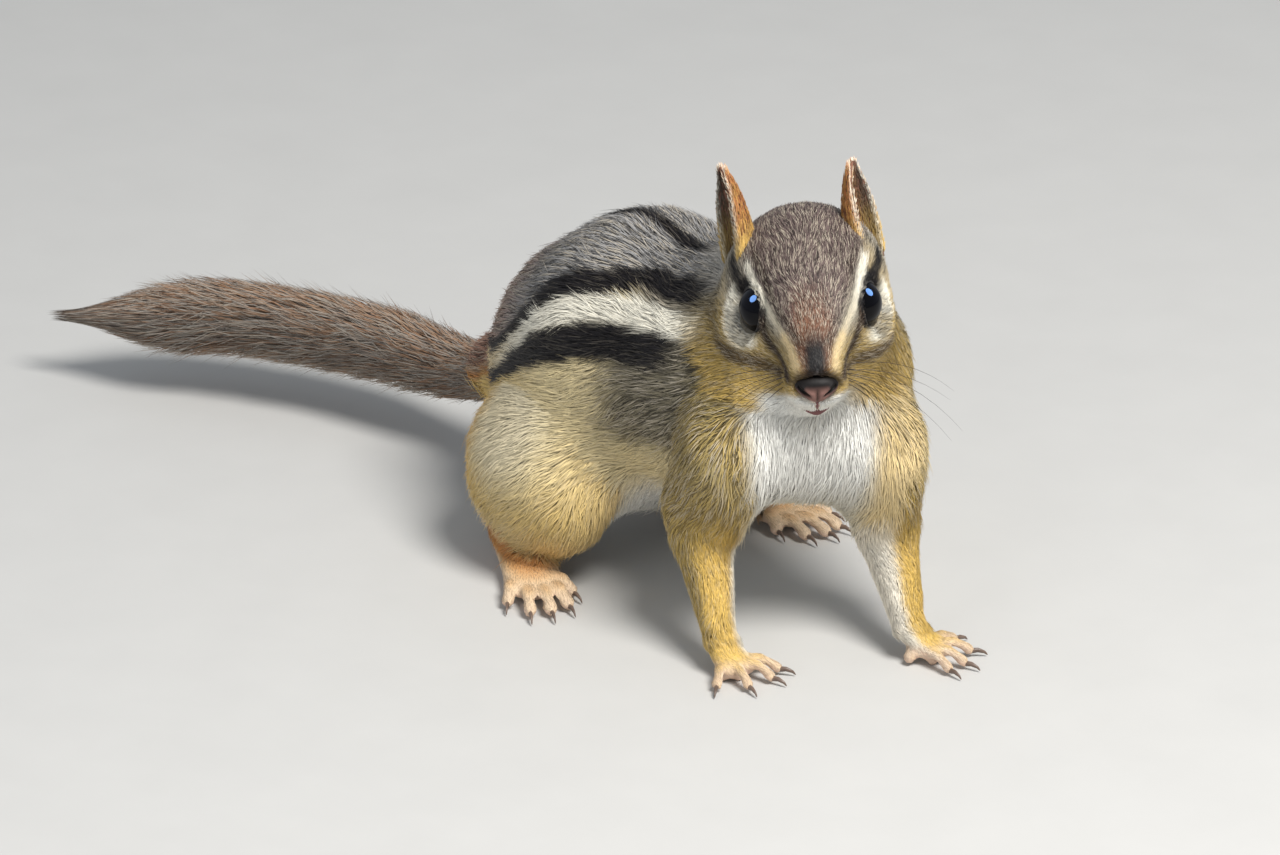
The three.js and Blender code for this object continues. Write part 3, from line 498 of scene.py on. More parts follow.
def fore_paw(name, side):
    """A fore paw with four digits, whose wrist leads into the forearm"""
    wrist = np.array(WRISTS[name])
    x, y, z = unit(np.array(ELBOWS[name]) - wrist)
    c, s = heading(FORE_HEADINGS[name])
    rise = np.array((x * c + y * s, side * (y * c - x * s), z))
    hand = np.array((0, 0, wrist[2]))
    line = [hand + 6.5 * rise, hand + 3.2 * rise, hand, (2.6, 0.2, 3.1), (5, 0.6, 2), (6.4, 0.8, 1.7)]
    palm = loft(line, (2.7, 2.8, 3.0, 3.5, 3.8, 2.6), (2.6, 2.7, 2.6, 2.4, 1.8, 1.2), (0, 1, 0), 20)
    thumb = ball((0.8, -3, 1.6), 1.3, 12, 8)
    pads_at = ((4.6, -1.8, 1.1), (5.2, 0.8, 1.2), (3.6, 3.0, 1.1))
    pads = [ball((x, y, 0.9), radius, 12, 8) for x, y, radius in pads_at]
    return joined([palm, thumb, *pads] + [toe(*t, FORE_TOE_RADIUS) for t in FORE_TOES])


def hind_foot():
    """A long hind foot with five toes"""
    ahead = [-3.0, -2.2, 1.5] + [share * HIND_FOOT_LENGTH for share in (0.26, 0.48, 0.62, 0.72)]
    line = np.c_[ahead, (0, 0, 0, 0, -0.2, -0.4, -0.4), (6.5, 4.2, 3.6, 3.0, 2.5, 2.1, 1.7)]
    wide, thick = (2.2, 2.7, 3.4, 3.8, 4.8, 5.7, 3.4), (2.2, 3.2, 3.6, 3.2, 2.5, 2.0, 1.1)
    sole = loft(line, wide, thick, (0, 1, 0), 20)
    return joined([sole] + [toe(*t, HIND_TOE_RADIUS) for t in HIND_TOES])


def feet():
    """Each foot as (name, side, place, heading, toes, toe radius)"""
    for name, side in SIDES.items():
        yield "fore_paw_" + name, side, WRISTS[name], FORE_HEADINGS[name], FORE_TOES, FORE_TOE_RADIUS
        yield "hind_foot_" + name, side, HEELS[name], HIND_HEADINGS[name], HIND_TOES, HIND_TOE_RADIUS


def foot_to_body(shape, at, turn, side):
    points, faces = shape
    c, s = heading(turn)
    x, y, z = (points * (1, side, 1)).T
    return np.c_[x * c - y * s, x * s + y * c, z] + (at[0], at[1], 0), faces[:, ::-1] if side < 0 else faces


# The skin: the nodes of flesh as one closed surface, smoothed and drawn in by the coat's depth


class Skin:
    """The skin's surface and what is known at each of its points. build_skin fills it"""


def owned(*names):
    """Whether each skin point belongs to a node whose name starts with one of the names"""
    return np.isin(Skin.owner, [i for i, name in enumerate(FLESH) if name.startswith(names)])


def node_mesh(name):
    """A node's corners and triangles in the stance frame, with shared corners merged"""
    mesh = frame["nodes"][name].data
    mesh.calc_loop_triangles()
    points = read(mesh.vertices, "co", 3).astype(float) / MM - SHIFT
    kept, index = np.unique(np.round(points, 3), axis=0, return_inverse=True)
    return kept, index.reshape(-1)[read(mesh.loop_triangles, "vertices", 3, np.int32)]


def vertex_normals(points, faces):
    """Normals of a mesh of triangles or quads, weighted by area"""
    a, b, c = (points[faces[:, k]] for k in range(3))
    normal = np.cross(b - a, c - a)
    if faces.shape[1] == 4:
        normal = np.cross(c - a, points[faces[:, 3]] - b)
    total = np.zeros_like(points)
    for corner in faces.T:
        for axis in range(3):
            total[:, axis] += np.bincount(corner, normal[:, axis], len(points))
    return unit(total)


class Neighbours:
    """Averages over the vertices that share an edge"""

    def __init__(self, faces, count):
        pairs = np.vstack([np.c_[a, b] for a, b in zip(faces.T, np.roll(faces, -1, axis=1).T)])
        pairs = np.unique(np.vstack((pairs, pairs[:, ::-1])), axis=0)
        self.other = pairs[:, 1]
        self.start = np.searchsorted(pairs[:, 0], np.arange(count))
        self.many = np.maximum(np.bincount(pairs[:, 0], minlength=count), 1)

    def mean(self, values):
        total = np.add.reduceat(values[self.other], self.start, axis=0)
        return total / (self.many[:, None] if values.ndim == 2 else self.many)

    def spread(self, values, rounds):
        for _ in range(rounds):
            values = values + 0.5 * (self.mean(values) - values)
        return values


def nearest_node(points):
    """For each point, the index in FLESH of the node whose surface is nearest"""
    parts = [node_mesh(name) for name in FLESH]
    owner = np.repeat(np.arange(len(FLESH)), [len(faces) for _, faces in parts])
    all_points, all_faces = joined(parts)
    tree = BVHTree.FromPolygons(all_points.tolist(), all_faces.tolist())
    return np.array([owner[tree.find_nearest(p)[2]] for p in points.tolist()])


def voxel_surface(points, triangles):
    """The outside of overlapping closed forms, as points and quads"""
    rough = mesh_object("skin_rough", points, triangles, None)
    remesh = rough.modifiers.new("Remesh", "REMESH")
    remesh.mode = "VOXEL"
    remesh.voxel_size = VOXEL * MM
    mesh = bpy.data.meshes.new_from_object(rough.evaluated_get(bpy.context.evaluated_depsgraph_get()))
    if len(mesh.loops) != 4 * len(mesh.polygons):
        raise RuntimeError("the skin's surface isn't all quads")
    made = read(mesh.vertices, "co", 3).astype(float) / MM - SHIFT
    quads = read(mesh.loops, "vertex_index", 1, np.int32).reshape(-1, 4)
    for spare in (mesh, rough.data):
        bpy.data.meshes.remove(spare)
    return made, quads


def eye_frame(side):
    """Where an eye looks, and the ways up and towards the nose across that"""
    gaze = unit(np.array((GAZE[0], side * GAZE[1], GAZE[2])))
    up = unit(np.array((-0.12, 0, 1.0)) - gaze * (gaze[2] - 0.12 * gaze[0]))
    return gaze, up, unit(np.cross(up, gaze)) * -side


def eye_polar(local, side):
    """Distance from an eye's line of gaze, turn round it, with 0 to the nose and 90 up, and depth along it"""
    gaze, up, forward = eye_frame(side)
    off = local - eye_centre(side)
    along, high, depth = off @ forward, off @ up, off @ gaze
    return np.hypot(along, high), np.degrees(np.arctan2(high, along)), depth


def lid_reach(turn):
    """How far the lids open at a turn round the gaze, as a tangent: least to the nose, most to the ear"""
    t = np.radians(turn)
    return 1.67 - 0.42 * np.cos(t) - 0.05 * np.cos(2 * t) + 0.07 * np.cos(3 * t - 0.5 * np.pi)


def lid_ratio(local, side):
    """Where points lie against an eye's lids, from 0 to 1 at their edge, and how far from its centre"""
    apart, turn, depth = eye_polar(local, side)
    ratio = apart / np.maximum(depth, 0.05) / lid_reach(turn)
    return np.where(depth > 0.05, ratio, 9.0), size(local - eye_centre(side))


def tail_core(share):
    """Radius of the tail without its hair, by the share of its length"""
    return TAIL_CORE_RADIUS - 1.4 * share**1.5


def flesh_forms():
    """Closed forms that overlap to make the flesh: swollen nodes, feet, the tail's core and the eyeballs"""
    forms = []
    for name in FLESH:
        if not name.startswith(PAWS):
            points, faces = node_mesh(name)
            forms.append((points + SWELL * vertex_normals(points, faces), faces))
    for name, side, at, turn, _, _ in feet():
        foot = fore_paw(name.removeprefix("fore_paw_"), side) if name.startswith("fore") else hind_foot()
        forms.append(foot_to_body(foot, at, turn, side))
    knots = 24
    core = curve_points(TAIL_LINE, knots)
    core = np.vstack((core[0] + 3 * unit(core[0] - core[1]), core))
    thick = np.append(TAIL_CORE_RADIUS + 0.8, tail_core(np.linspace(0, 1, knots)))
    forms.append(loft(core, thick, thick, (0, 1, 0), 18))
    return forms + [ball(from_head(eye_centre(side)), EYE_RADIUS + 0.6) for side in SIDES.values()]


def coat_numbers(around, points):
    """COATS at each point, spread over the seams and changed on the face, the chest and the tail"""
    is_paw = owned(*PAWS)
    numbers = around.spread(COAT_TABLE[Skin.owner], 30)
    numbers[is_paw] = COAT_TABLE[Skin.owner[is_paw]]
    local = to_head(points)
    muzzle = owned("head") * ramp(2.0, 13.0, local[:, 0])
    numbers *= 1 + muzzle[:, None] * (-0.62, -0.52, -0.28, 0.8)
    for side in SIDES.values():
        ratio, away = lid_ratio(local, side)
        close = ramp(2.6, 1.2, ratio) * ramp(EYE_RADIUS + 5, EYE_RADIUS + 2, away)
        numbers[:, 1:] *= 1 + close[:, None] * (-0.5, -0.25, 0.5)
    x, _, z = points.T
    numbers[:, 1] *= 1 + 0.3 * ramp(-18, -6, x) * ramp(52, 46, z) * ramp(26, 32, z)
    numbers[:, 3] *= ramp(-115.0, -103.0, x)
    return numbers


def seated(points):
    """The skin laid on the eyeballs, or under them in their openings, and sunk behind the nose pad"""
    local = to_head(points)
    for side in SIDES.values():
        centre = eye_centre(side)
        ratio, away = lid_ratio(local, side)
        out = unit(local - centre)
        near = (away < EYE_RADIUS + 3.0) & (ratio < 4)
        covers = near & (ratio > 0.98) & (away < EYE_RADIUS + 0.35)
        opening = near & (ratio <= 0.98)
        local = np.where(covers[:, None], centre + out * (EYE_RADIUS + 0.35), local)
        local = np.where(opening[:, None], centre + out * (EYE_RADIUS - 0.7), local)
    off = (local - NOSE_AT) / NOSE_HALF
    local[:, 0] -= 1.6 * ramp(1.05, 0.75, np.hypot(off[:, 1], off[:, 2])) * (off[:, 0] > -1)
    near_head = size(points - HEAD_AT) < 40
    points = np.where(near_head[:, None], from_head(local), points)
    points[:, 2] = np.maximum(points[:, 2], 0.0)
    return points


def build_skin():
    """Fills Skin: its surface, the coat's numbers, the lie of the hair and the markings"""
    points, quads = voxel_surface(*joined(flesh_forms()))
    around = Neighbours(quads, len(points))
    Skin.owner = nearest_node(points)
    is_paw = owned(*PAWS)
    firm = around.spread(np.where(is_paw, 0.12, np.where(owned("head"), 0.5, 1.0)), 12)
    firm = np.where(is_paw, np.minimum(firm, 0.2), firm)

    def eased(points, rounds, *shares):
        """Moves points towards their neighbours' middle, or away from it, where the flesh isn't firm"""
        for share in shares * rounds:
            points = points + (share * firm)[:, None] * (around.mean(points) - points)
        return points

    points = eased(eased(points, 34, 0.55, -0.5), 6, 0.4)
    numbers = coat_numbers(around, points)
    x = points[:, 0]
    inward = np.where(is_paw, 0.1, numbers[:, 0] + SWELL) * (1 - ramp(-98.0, -103.0, x))
    numbers[:, 0] *= 1 - 0.62 * ramp(-97.0, -104.0, x)
    points = points - vertex_normals(points, quads) * inward[:, None]
    points = seated(eased(points, 3, 0.3))

    Skin.points, Skin.quads, Skin.around, Skin.numbers = points, quads, around, numbers
    Skin.normals = vertex_normals(points, quads)
    Skin.local = to_head(points)
    Skin.tree = BVHTree.FromPolygons(points.tolist(), quads.tolist())
    Skin.lie = lie_of_coat()
    Skin.colours, Skin.ticks, Skin.bare = markings()


def lie_of_coat():
    """The direction in which the hair lies at each skin point"""
    points, normals = Skin.points, Skin.normals
    lie = np.tile((-1.0, 0.0, -0.28), (len(points), 1))
    head = owned("head")
    lie[head] = unit(Skin.local[head] - (19.0, 0.0, -6.8)) @ HEAD_TURN.T
    lie[owned("neck")] = (-0.75, 0.0, -0.62)
    for name in SIDES:
        ways = {
            "upper_arm_": np.subtract(ELBOWS[name], SHOULDERS[name]),
            "forearm_": np.subtract(WRISTS[name], ELBOWS[name]),
            "fore_paw_": (*heading(FORE_HEADINGS[name]), -0.5),
            "thigh_": (-0.72, 0.0, -0.72),
            "shank_": np.subtract(HOCKS[name], HIPS[name]),
            "hind_foot_": (*heading(HIND_HEADINGS[name]), -0.25),
        }
        for part, way in ways.items():
            lie[owned(part + name)] = way
    lie = Skin.around.spread(unit(lie), 40)
    chest = ramp(-22, -6, points[:, 0]) * ramp(0.2, 0.8, normals[:, 0]) * owned("torso", "neck")
    lie = mix(lie, np.array((0.0, 0.0, -1.0)), chest[:, None] * 0.8)
    for side in SIDES.values():
        ratio, away = lid_ratio(Skin.local, side)
        outward = level(Skin.local - eye_centre(side), eye_frame(side)[0]) @ HEAD_TURN.T
        pull = (ramp(2.6, 1.1, ratio) * ramp(EYE_RADIUS + 4, EYE_RADIUS + 1, away))[:, None]
        lie = lie - outward * (np.minimum(dot(lie, outward), 0) * pull) + outward * (0.3 * pull)
    lie = level(lie, normals)
    rng = draws(4)
    for rounds, turn in ((60, 0.14), (14, 0.16)):
        sway = Skin.around.spread(rng.normal(0, 1, len(points)), rounds)
        lie = lie + np.cross(normals, lie) * (turn * sway / sway.std())[:, None]
    return level(Skin.around.spread(lie, 4), normals)


# Markings, the same for skin and coat


def markings():
    """Colour, strength of the dark ticks and bareness at each skin point"""
    c = palette()
    x, y, z = Skin.points.T
    colour = np.tile(c.flank, (len(x), 1))
    ticks = np.full(len(x), 0.28)

    def paint(mask, shade, tick):
        nonlocal colour, ticks
        mask = np.clip(mask, 0, 1)
        colour = mix(colour, shade, mask[:, None])
        ticks = mix(ticks, tick, mask)

    # theta is the turn round the trunk, from 0 on the middle of the back, and s is the way back along it
    s = -x
    centre_y = np.interp(x, (-100, -74, -57, -35, -13), (0, 0, 2, 3.5, 5))
    centre_z = np.interp(x, (-100, -85, -74, -60, -35, -13), (19, 27, 31, 37, 38, 41))
    theta = np.degrees(np.arctan2(np.abs(y - centre_y), z - centre_z))
    wander = 0.8 * np.sin(0.9 * x + 2 * np.sign(y)) + 0.6 * np.sin(2.3 * x + 0.4 * z)

    # Shoulders and nape, then the back, the rump and the stripes
    front = ramp(46, 34, s)
    paint(front * ramp(118, 88, theta), c.olive, 1.0)
    paint(front * ramp(60, 35, theta), mix(c.olive, c.grey, 0.6), 1.0)
    shoulder = ramp(17, 25, s) * ramp(48, 38, s) * ramp(116, 98, theta)
    paint(shoulder * 0.8, mix(c.olive * 0.6, c.grey, 0.4), 1.0)
    cream_at = np.interp(s, (30, 44, 58, 71, 78, 92), (41, 44.5, 58.5, 73, 80, 66))
    upper_at = cream_at - np.interp(s, (34, 42, 49, 60, 75, 90), (17, 17, 13, 12, 11.5, 10))
    lower_at = cream_at + np.interp(s, (32, 38, 47, 60, 70, 80, 92), (15, 15, 15, 15.5, 11, 8, 7))
    paint(ramp(upper_at + 2, upper_at - 2, theta) * ramp(26, 36, s), c.grey, 1.0)
    paint(ramp(66, 88, s) * ramp(95, 55, theta), mix(c.grey, c.rufous, 0.55), 0.9)
    paint(ramp(70, 84, s) * band(lower_at + 8, 7, 5, theta), c.rufous, 0.4)
    paint(ramp(52, 74, s) * ramp(70, 100, theta) * 0.75, c.gold, 0.25)
    ends = ramp(25, 31, s) * ramp(94, 84, s)
    narrow = np.interp(s, (34, 60, 75, 90), (1.0, 1.0, 0.75, 0.5))
    paint(ends * band(upper_at + wander, 7.2 * narrow, 1.6, theta), c.black, 0.12)
    paint(ends * band(lower_at + wander, 9.4 * narrow, 1.9, theta), c.black, 0.12)
    pale = mix(c.cream, c.gold, ramp(62, 88, s)[:, None] * 0.75)
    paint(ramp(22, 28, s) * ramp(94, 84, s) * band(cream_at + wander, 6.3 * narrow, 1.4, theta), pale, 0.02)
    median = ramp(14, 20, s) * ramp(98, 90, s)
    paint(median * band(0, 4.2, 1.6, theta + 0.6 * wander), c.black, 0.15)

    # Under side, chest and throat, by the way aside and ahead of the middle of the chest
    hind_leg = owned("shank", "hind")
    paint(ramp(125, 150, theta) * ramp(-8, -16, x) * ~hind_leg, c.white, 0.03)
    paint(ramp(14.5, 9.5, z) * ~(hind_leg | owned("fore")), mix(c.white, c.flank, 0.4), 0.05)
    aside = 0.34 * (x + 13) + 0.94 * (y - 3.5)
    ahead = 0.94 * (x + 13) - 0.34 * (y - 3.5)
    bib = ramp(13.5, 9.0, np.abs(aside + 2.2)) * ramp(2.0, 8.0, ahead) * ramp(53, 47, z)
    reach = ahead - 4 * ramp(4, -10, aside)
    # The ruff beside the bib is gold and olive; its left side is painted paler and its right side darker and
    # more ticked, as painted light and shade
    ruff = ramp(8.5, 13.0, np.abs(aside + 2.2)) * ramp(-2.0, 8.0, reach) * owned("neck", "torso", "head")
    left = ramp(-4, 8, aside)
    sides = mix(mix(c.gold, c.olive, 0.65), mix(c.gold, c.cream, 0.3), left[:, None])
    paint(ruff * 0.75, sides, 1 - 0.7 * left)
    # The bib is white; its lower part is painted half olive as painted shadow of the head on the chest
    paint(bib * ~owned("head"), mix(c.white, c.olive, 0.5 * ramp(36, 26, z)[:, None]), 0.1)

    for name, side in SIDES.items():
        leg_markings(paint, c, name, side * -Skin.normals[:, 1])
    orange = owned("hind_foot") * ramp(1.8, 5.4, z) + owned("shank") * ramp(12.5, 7.0, z)
    paint(orange, mix(c.rufous, c.gold, 0.2), 0.2)
    bare = owned(*PAWS) * ramp(4.6, 2.6, z)
    paint(bare * 0.85, c.pink, 0.05)
    bare = bare * (1 - 0.75 * ramp(0.0, 0.5, Skin.normals[:, 2]))
    cleft = face_markings(paint, c)
    return colour, ticks, np.maximum(bare, cleft)


def leg_markings(paint, c, name, inner):
    """Paints a foreleg, thigh and shank. inner is 1 where the skin faces the other side's legs"""
    x, y, z = Skin.points.T
    fore = owned("upper_arm_" + name, "forearm_" + name, "fore_paw_" + name)
    low = ramp(34, 18, z)
    paint(fore * ramp(40, 30, z), mix(c.olive, c.gold, 0.35), 0.9)
    paint(fore * low * 0.9, c.gold, 0.3)
    paint(fore * ramp(0.15, 0.75, inner) * low, mix(c.white, c.gold, 0.2), 0.1)
    outer = ramp(0.1, 0.7, -0.6 * Skin.normals[:, 0] - 0.8 * inner)
    paint(fore * outer * ramp(3, 9, z) * 0.65, mix(c.olive, c.gold, 0.25), 0.9)
    thigh = owned("thigh_" + name)
    off_middle = np.hypot(x + 62, z - 29)
    paint(thigh * ramp(9, 22, off_middle) * 0.5, c.gold, 0.3)
    paint(thigh * ramp(14, 5, off_middle) * 0.8, mix(c.cream, c.flank, 0.5), 0.12)
    paint(thigh * ramp(24, 12, z) * 0.6, mix(c.gold, c.olive, 0.3), 0.4)
    paint(thigh * ramp(-66, -78, x) * ramp(40, 24, z), mix(c.gold, c.rufous, 0.45), 0.2)
    paint(owned("shank_" + name) * 0.7, mix(c.white, c.flank, 0.75), 0.15)


def face_markings(paint, c):
    """Paints the head by its own frame, and gives the bareness of the cleft below the nose"""
    head = owned("head") | (owned("neck") & (Skin.points[:, 2] > 47))
    x, y, z = Skin.local.T
    side_y = np.abs(y + np.clip(0.04 * (16 - x), 0, 0.7))
    mirrored = np.stack((x, side_y, z), axis=1)

    def along(name, inner, outer):
        """1 within inner of a line on either side of the face, 0 beyond outer"""
        return head * ramp(outer, inner, line_distance(mirrored, FACE_LINES[name]))

    forward = ramp(-15, -4, x)
    paint(head * forward * ramp(-4, -10, z) * 0.9, mix(c.gold, c.olive, 0.3), 0.55)
    paint(head * forward * band(-5.5, 3.5, 2.5, z) * 0.8, mix(c.olive, c.gold, 0.55), 0.75)
    cap_edge = np.interp(x, (-20, -3, 3, 9, 13, 16), (12.0, 9.6, 7.4, 5.0, 3.2, 2.0))
    on_top = ramp(-3.5, 0.5, z + 0.18 * x)
    paint(head * ramp(cap_edge + 0.8, cap_edge - 0.8, side_y) * on_top, c.cap, 1.0)
    bridge = ramp(4, 12, x) * ramp(5.0, 1.5, side_y) * ramp(-7, -3, z)
    paint(head * bridge * 0.75, mix(c.brown, c.rufous, 0.4), 0.9)
    paint(along("behind the eye", 0.8, 2.4) * 0.55, mix(c.cream, c.gold, 0.5), 0.4)
    for side in SIDES.values():
        apart, turn, depth = eye_polar(Skin.local, side)
        near = head * (depth > -4)
        below = np.abs((turn + 125 + 180) % 360 - 180)
        crescent = 6.6 + 0.5 * ramp(-110, -175, np.where(turn > 90, turn - 360, turn))
        paint(near * ramp(84, 62, below) * ramp(crescent + 0.6, crescent - 0.6, apart), c.cream, 0.0)
        paint(near * ramp(48, 28, np.abs(turn - 128)) * ramp(6.4, 5.4, apart), c.black, 0.15)
        paint(near * ramp(4.9, 4.3, apart) * ramp(0, 2, depth), c.black, 0.1)
    paint(along("cheek", 0.7, 2.0) * 0.85, c.brown, 0.8)
    paint(along("before the eye", 0.7, 1.6), c.brown * 0.7, 0.5)
    paint(along("inner", 0.4, 1.1) * 0.75, c.brown * 0.5, 0.8)
    fade = ramp(2, 12, x)
    paint(along("brow", 0.6, 1.25) * (1 - 0.3 * fade), mix(c.cream, c.gold, 0.35 * fade[:, None]), 0.2)
    paint(along("brow end", 0.5, 1.5) * 0.85, mix(c.cream, c.gold, 0.6), 0.25)
    paint(along("above the eye", 0.9, 1.8), c.black, 0.2)
    dark_nose = ramp(10.2, 14.2, x) * ramp(2.6, 1.0, np.abs(y)) * ramp(-8.5, -6.5, z)
    paint(head * dark_nose, c.black * 0.8, 0.05)
    # Painted shade: the skin round the upper half of the nose pad is darkened, where it lies behind the pad
    # and shows through its nostrils
    round_pad = size((Skin.local - NOSE_AT) / (NOSE_HALF + (1.5, 0.3, 0.3)))
    paint(head * ramp(1.25, 1.0, round_pad) * ramp(-8.6, -7.4, z) * 0.8, c.brown * 0.6, 0.1)
    lip_top = np.interp(x, (6, 9, 12, 14, 17), (-13.4, -12.6, -11.0, -9.6, -8.9))
    lips = ramp(lip_top + 0.7, lip_top - 0.7, z) * ramp(4.5, 8.5, x) * ramp(11, 7.5, side_y)
    paint(head * lips, c.white, 0.03)
    behind_ear = ramp(-11.5, -14, x) * band(12.5, 4, 2, side_y) * band(1.0, 5.5, 2, z)
    paint(head * behind_ear * 0.8, c.frost * 1.25, 0.3)
    return head * ramp(10.5, 11.5, x) * ramp(0.75, 0.35, np.abs(y)) * band(-11.8, 1.6, 0.4, z)


# Tufts


class Roots:
    """Where tufts grow: drawn evenly over the skin by its density"""

    def __init__(self, rng, amount):
        a, b, c, d = (Skin.points[Skin.quads[:, k]] for k in range(4))
        area = 0.5 * size(np.cross(c - a, d - b))
        blank = size((Skin.local - NOSE_AT) / (NOSE_HALF + (3.0, -0.1, -0.1))) < 1.0
        blank |= Skin.points[:, 2] < 0.25
        for side in SIDES.values():
            ratio, away = lid_ratio(Skin.local, side)
            blank |= (ratio < 1.08) & (away < EYE_RADIUS + 2)
        density = np.where(blank, 0, Skin.numbers[:, 3] * (1 - Skin.bare))
        weight = area * density[Skin.quads].mean(axis=1) * amount
        total = np.cumsum(weight)
        self.count = int(total[-1])
        picks = (np.arange(self.count) + rng.random(self.count)) * (total[-1] / self.count)
        self.face = np.minimum(np.searchsorted(total, picks), len(weight) - 1)
        self.corner = Skin.quads[self.face]
        u, v = rng.random(self.count), rng.random(self.count)
        self.share = np.c_[(1 - u) * (1 - v), u * (1 - v), u * v, (1 - u) * v]

    def of(self, values):
        return (values[self.corner] * self.share[..., None]).sum(axis=1)


def skin_below(points, normals, faces, reach):
    """The nearest skin point, its normal and its face for each point, where one is near"""
    found, normal, face = np.array(points), np.array(normals), np.array(faces)
    for i, p in enumerate(points.tolist()):
        place, turned, index, distance = Skin.tree.find_nearest(p)
        if index is not None and distance < reach[i]:
            found[i], normal[i], face[i] = place, turned, index
    return found, normal, face


def clear_of_eyes(path):
    """Bends tufts that would cross an eye out to the edge of its lids"""
    local = to_head(path.reshape(-1, 3))
    for side in SIDES.values():
        apart, turn, depth = eye_polar(local, side)
        edge = 1.1 * EYE_RADIUS * np.sin(np.arctan(lid_reach(turn)))
        over = (apart < edge) & (depth > 0.5) & (depth < EYE_RADIUS + 4)
        outward = local - eye_centre(side) - eye_frame(side)[0] * depth[:, None]
        push = np.where(over, edge / np.maximum(apart, 0.5) - 1, 0)
        local = (local + outward * push[:, None]).reshape(path.shape)
        bent = over.reshape(path.shape[:2]).any(axis=1)
        local[bent, -1] = mix(local[bent, -2], local[bent, -1], 0.4)
        local = local.reshape(-1, 3)
    return from_head(local).reshape(path.shape)


def tuft_points(path, side, up, width, flat):
    """Points of tufts, pointed at both ends, with a ring of three round each inner point of their paths"""
    corners = [path[:, 0]]
    for k in range(path.shape[1] - 2):
        middle = path[:, k + 1]
        half = 0.5 * width[:, k, None] * side[:, k]
        corners += [middle - half, middle + half, middle + flat * width[:, k, None] * up[:, k]]
    corners.append(path[:, -1])
    return np.stack(corners, axis=1)


def tuft_faces(rings):
    """Triangles of one tuft"""
    edges = ((0, 1), (1, 2), (2, 0))
    last = 3 * rings - 2
    faces = [(0, 1 + b, 1 + a) for a, b in edges]
    for k in range(1, last, 3):
        for a, b in edges:
            faces += [(k + a, k + b, k + b + 3), (k + a, k + b + 3, k + a + 3)]
    return np.array(faces + [(last + a, last + b, last + 3) for a, b in edges])


def coat_pieces(name, material, slot, tufts):
    """Makes pieces of coat from tufts, each with no more triangles than one piece may have"""
    corners = tufts["points"].shape[1]
    rings = (corners - 2) // 3
    pattern = tuft_faces(rings)
    parts = math.ceil(len(tufts["points"]) / (PIECE_TRIANGLES // len(pattern)))
    order = np.argsort(tufts["points"][:, 0, 0], kind="stable")
    along = np.concatenate(((0.0,), np.repeat(np.arange(1, rings + 1) / (rings + 1), 3), (1.0,)))
    aside = np.concatenate(((0.0,), np.tile((-0.5, 0.5, 0.0), rings), (0.0,)))
    for part, chosen in enumerate(np.array_split(order, parts)):
        count = len(chosen)
        points = tufts["points"][chosen].reshape(-1, 3)
        faces = (pattern + corners * np.arange(count)[:, None, None]).reshape(-1, 3)
        each = (tufts[key][chosen] for key in ("lot", "ticks", "uv", "normals"))
        lot, ticks, uv, normals = (np.repeat(values, corners, axis=0) for values in each)
        label = name if parts == 1 else f"{name}_{part + 1}"
        mesh = dress(label, (points, faces), material, slot).data
        put_markings(mesh, np.broadcast_to(tufts["colours"][chosen], (count, corners, 3)).reshape(-1, 3))
        put_attribute(mesh, "hair", "FLOAT_VECTOR", "vector", np.c_[np.tile(along, count), lot, ticks])
        put_unwrap(mesh, faces, uv + PATCH * np.c_[np.tile(aside, count), np.tile(along - 0.5, count)])
        shade = unit(vertex_normals(points, faces) * 0.55 + normals)
        mesh.normals_split_custom_set_from_vertices(shade.astype(np.float32))


def grow_coat(rng, settings):
    """The tufts of body, head and legs, and the node that each grows on"""
    roots = Roots(rng, settings.density)
    count = roots.count
    normal = unit(roots.of(Skin.normals))
    base = roots.of(Skin.points)
    lie = roots.of(Skin.lie)
    depth, length, width, _ = roots.of(Skin.numbers).T
    length = length * rng.uniform(0.7, 1.15, count) * settings.length
    swirl = rng.normal(0, 0.11, count)
    lie = level(unit(lie + np.cross(normal, lie) * swirl[:, None]), normal)
    lift = rng.uniform(0.25, 1.0, count) ** 0.6
    top = depth * lift * rng.uniform(0.85, 1.12, count)
    guard = rng.random(count) < 0.04
    top = np.where(guard, 1.1 * top + 0.25 * depth, top)
    length = np.where(guard, 1.15 * length, length)
    width = np.where(guard, 0.7 * width, width)

    step = base + lie * (0.42 * length)[:, None]
    mid_skin, mid_normal, face = skin_below(step, normal, roots.face, 0.6 * length)
    ahead = level(mid_skin - base, mid_normal)
    step = mid_skin + ahead * (0.58 * length)[:, None]
    end_skin, end_normal, _ = skin_below(step, mid_normal, face, 0.6 * length)
    middle = mid_skin + mid_normal * (0.62 * top)[:, None]
    tip = end_skin + end_normal * (top * rng.uniform(0.75, 1.05, count))[:, None]
    side = np.cross(mid_normal, ahead)
    tip += side * (length * rng.normal(0, 0.05, count))[:, None]
    path = clear_of_eyes(np.stack((base - normal * 0.12, middle, tip), axis=1))
    path[..., 2] = np.maximum(path[..., 2], 0.05)
    wide = (width * rng.uniform(0.75, 1.25, count))[:, None]
    tufts = {
        "points": tuft_points(path, side[:, None], mid_normal[:, None], wide, 0.4),
        "colours": Skin.colours[Skin.quads[face]].mean(axis=1)[:, None],
        "ticks": Skin.ticks[Skin.quads[face]].mean(axis=1),
        "lot": rng.random(count),
        "uv": roots.of(Skin.uv),
        "normals": normal,
    }
    return tufts, Skin.owner[roots.corner[:, 0]]


# The ears: tall cups, open to the side and front, that end in a blunt point


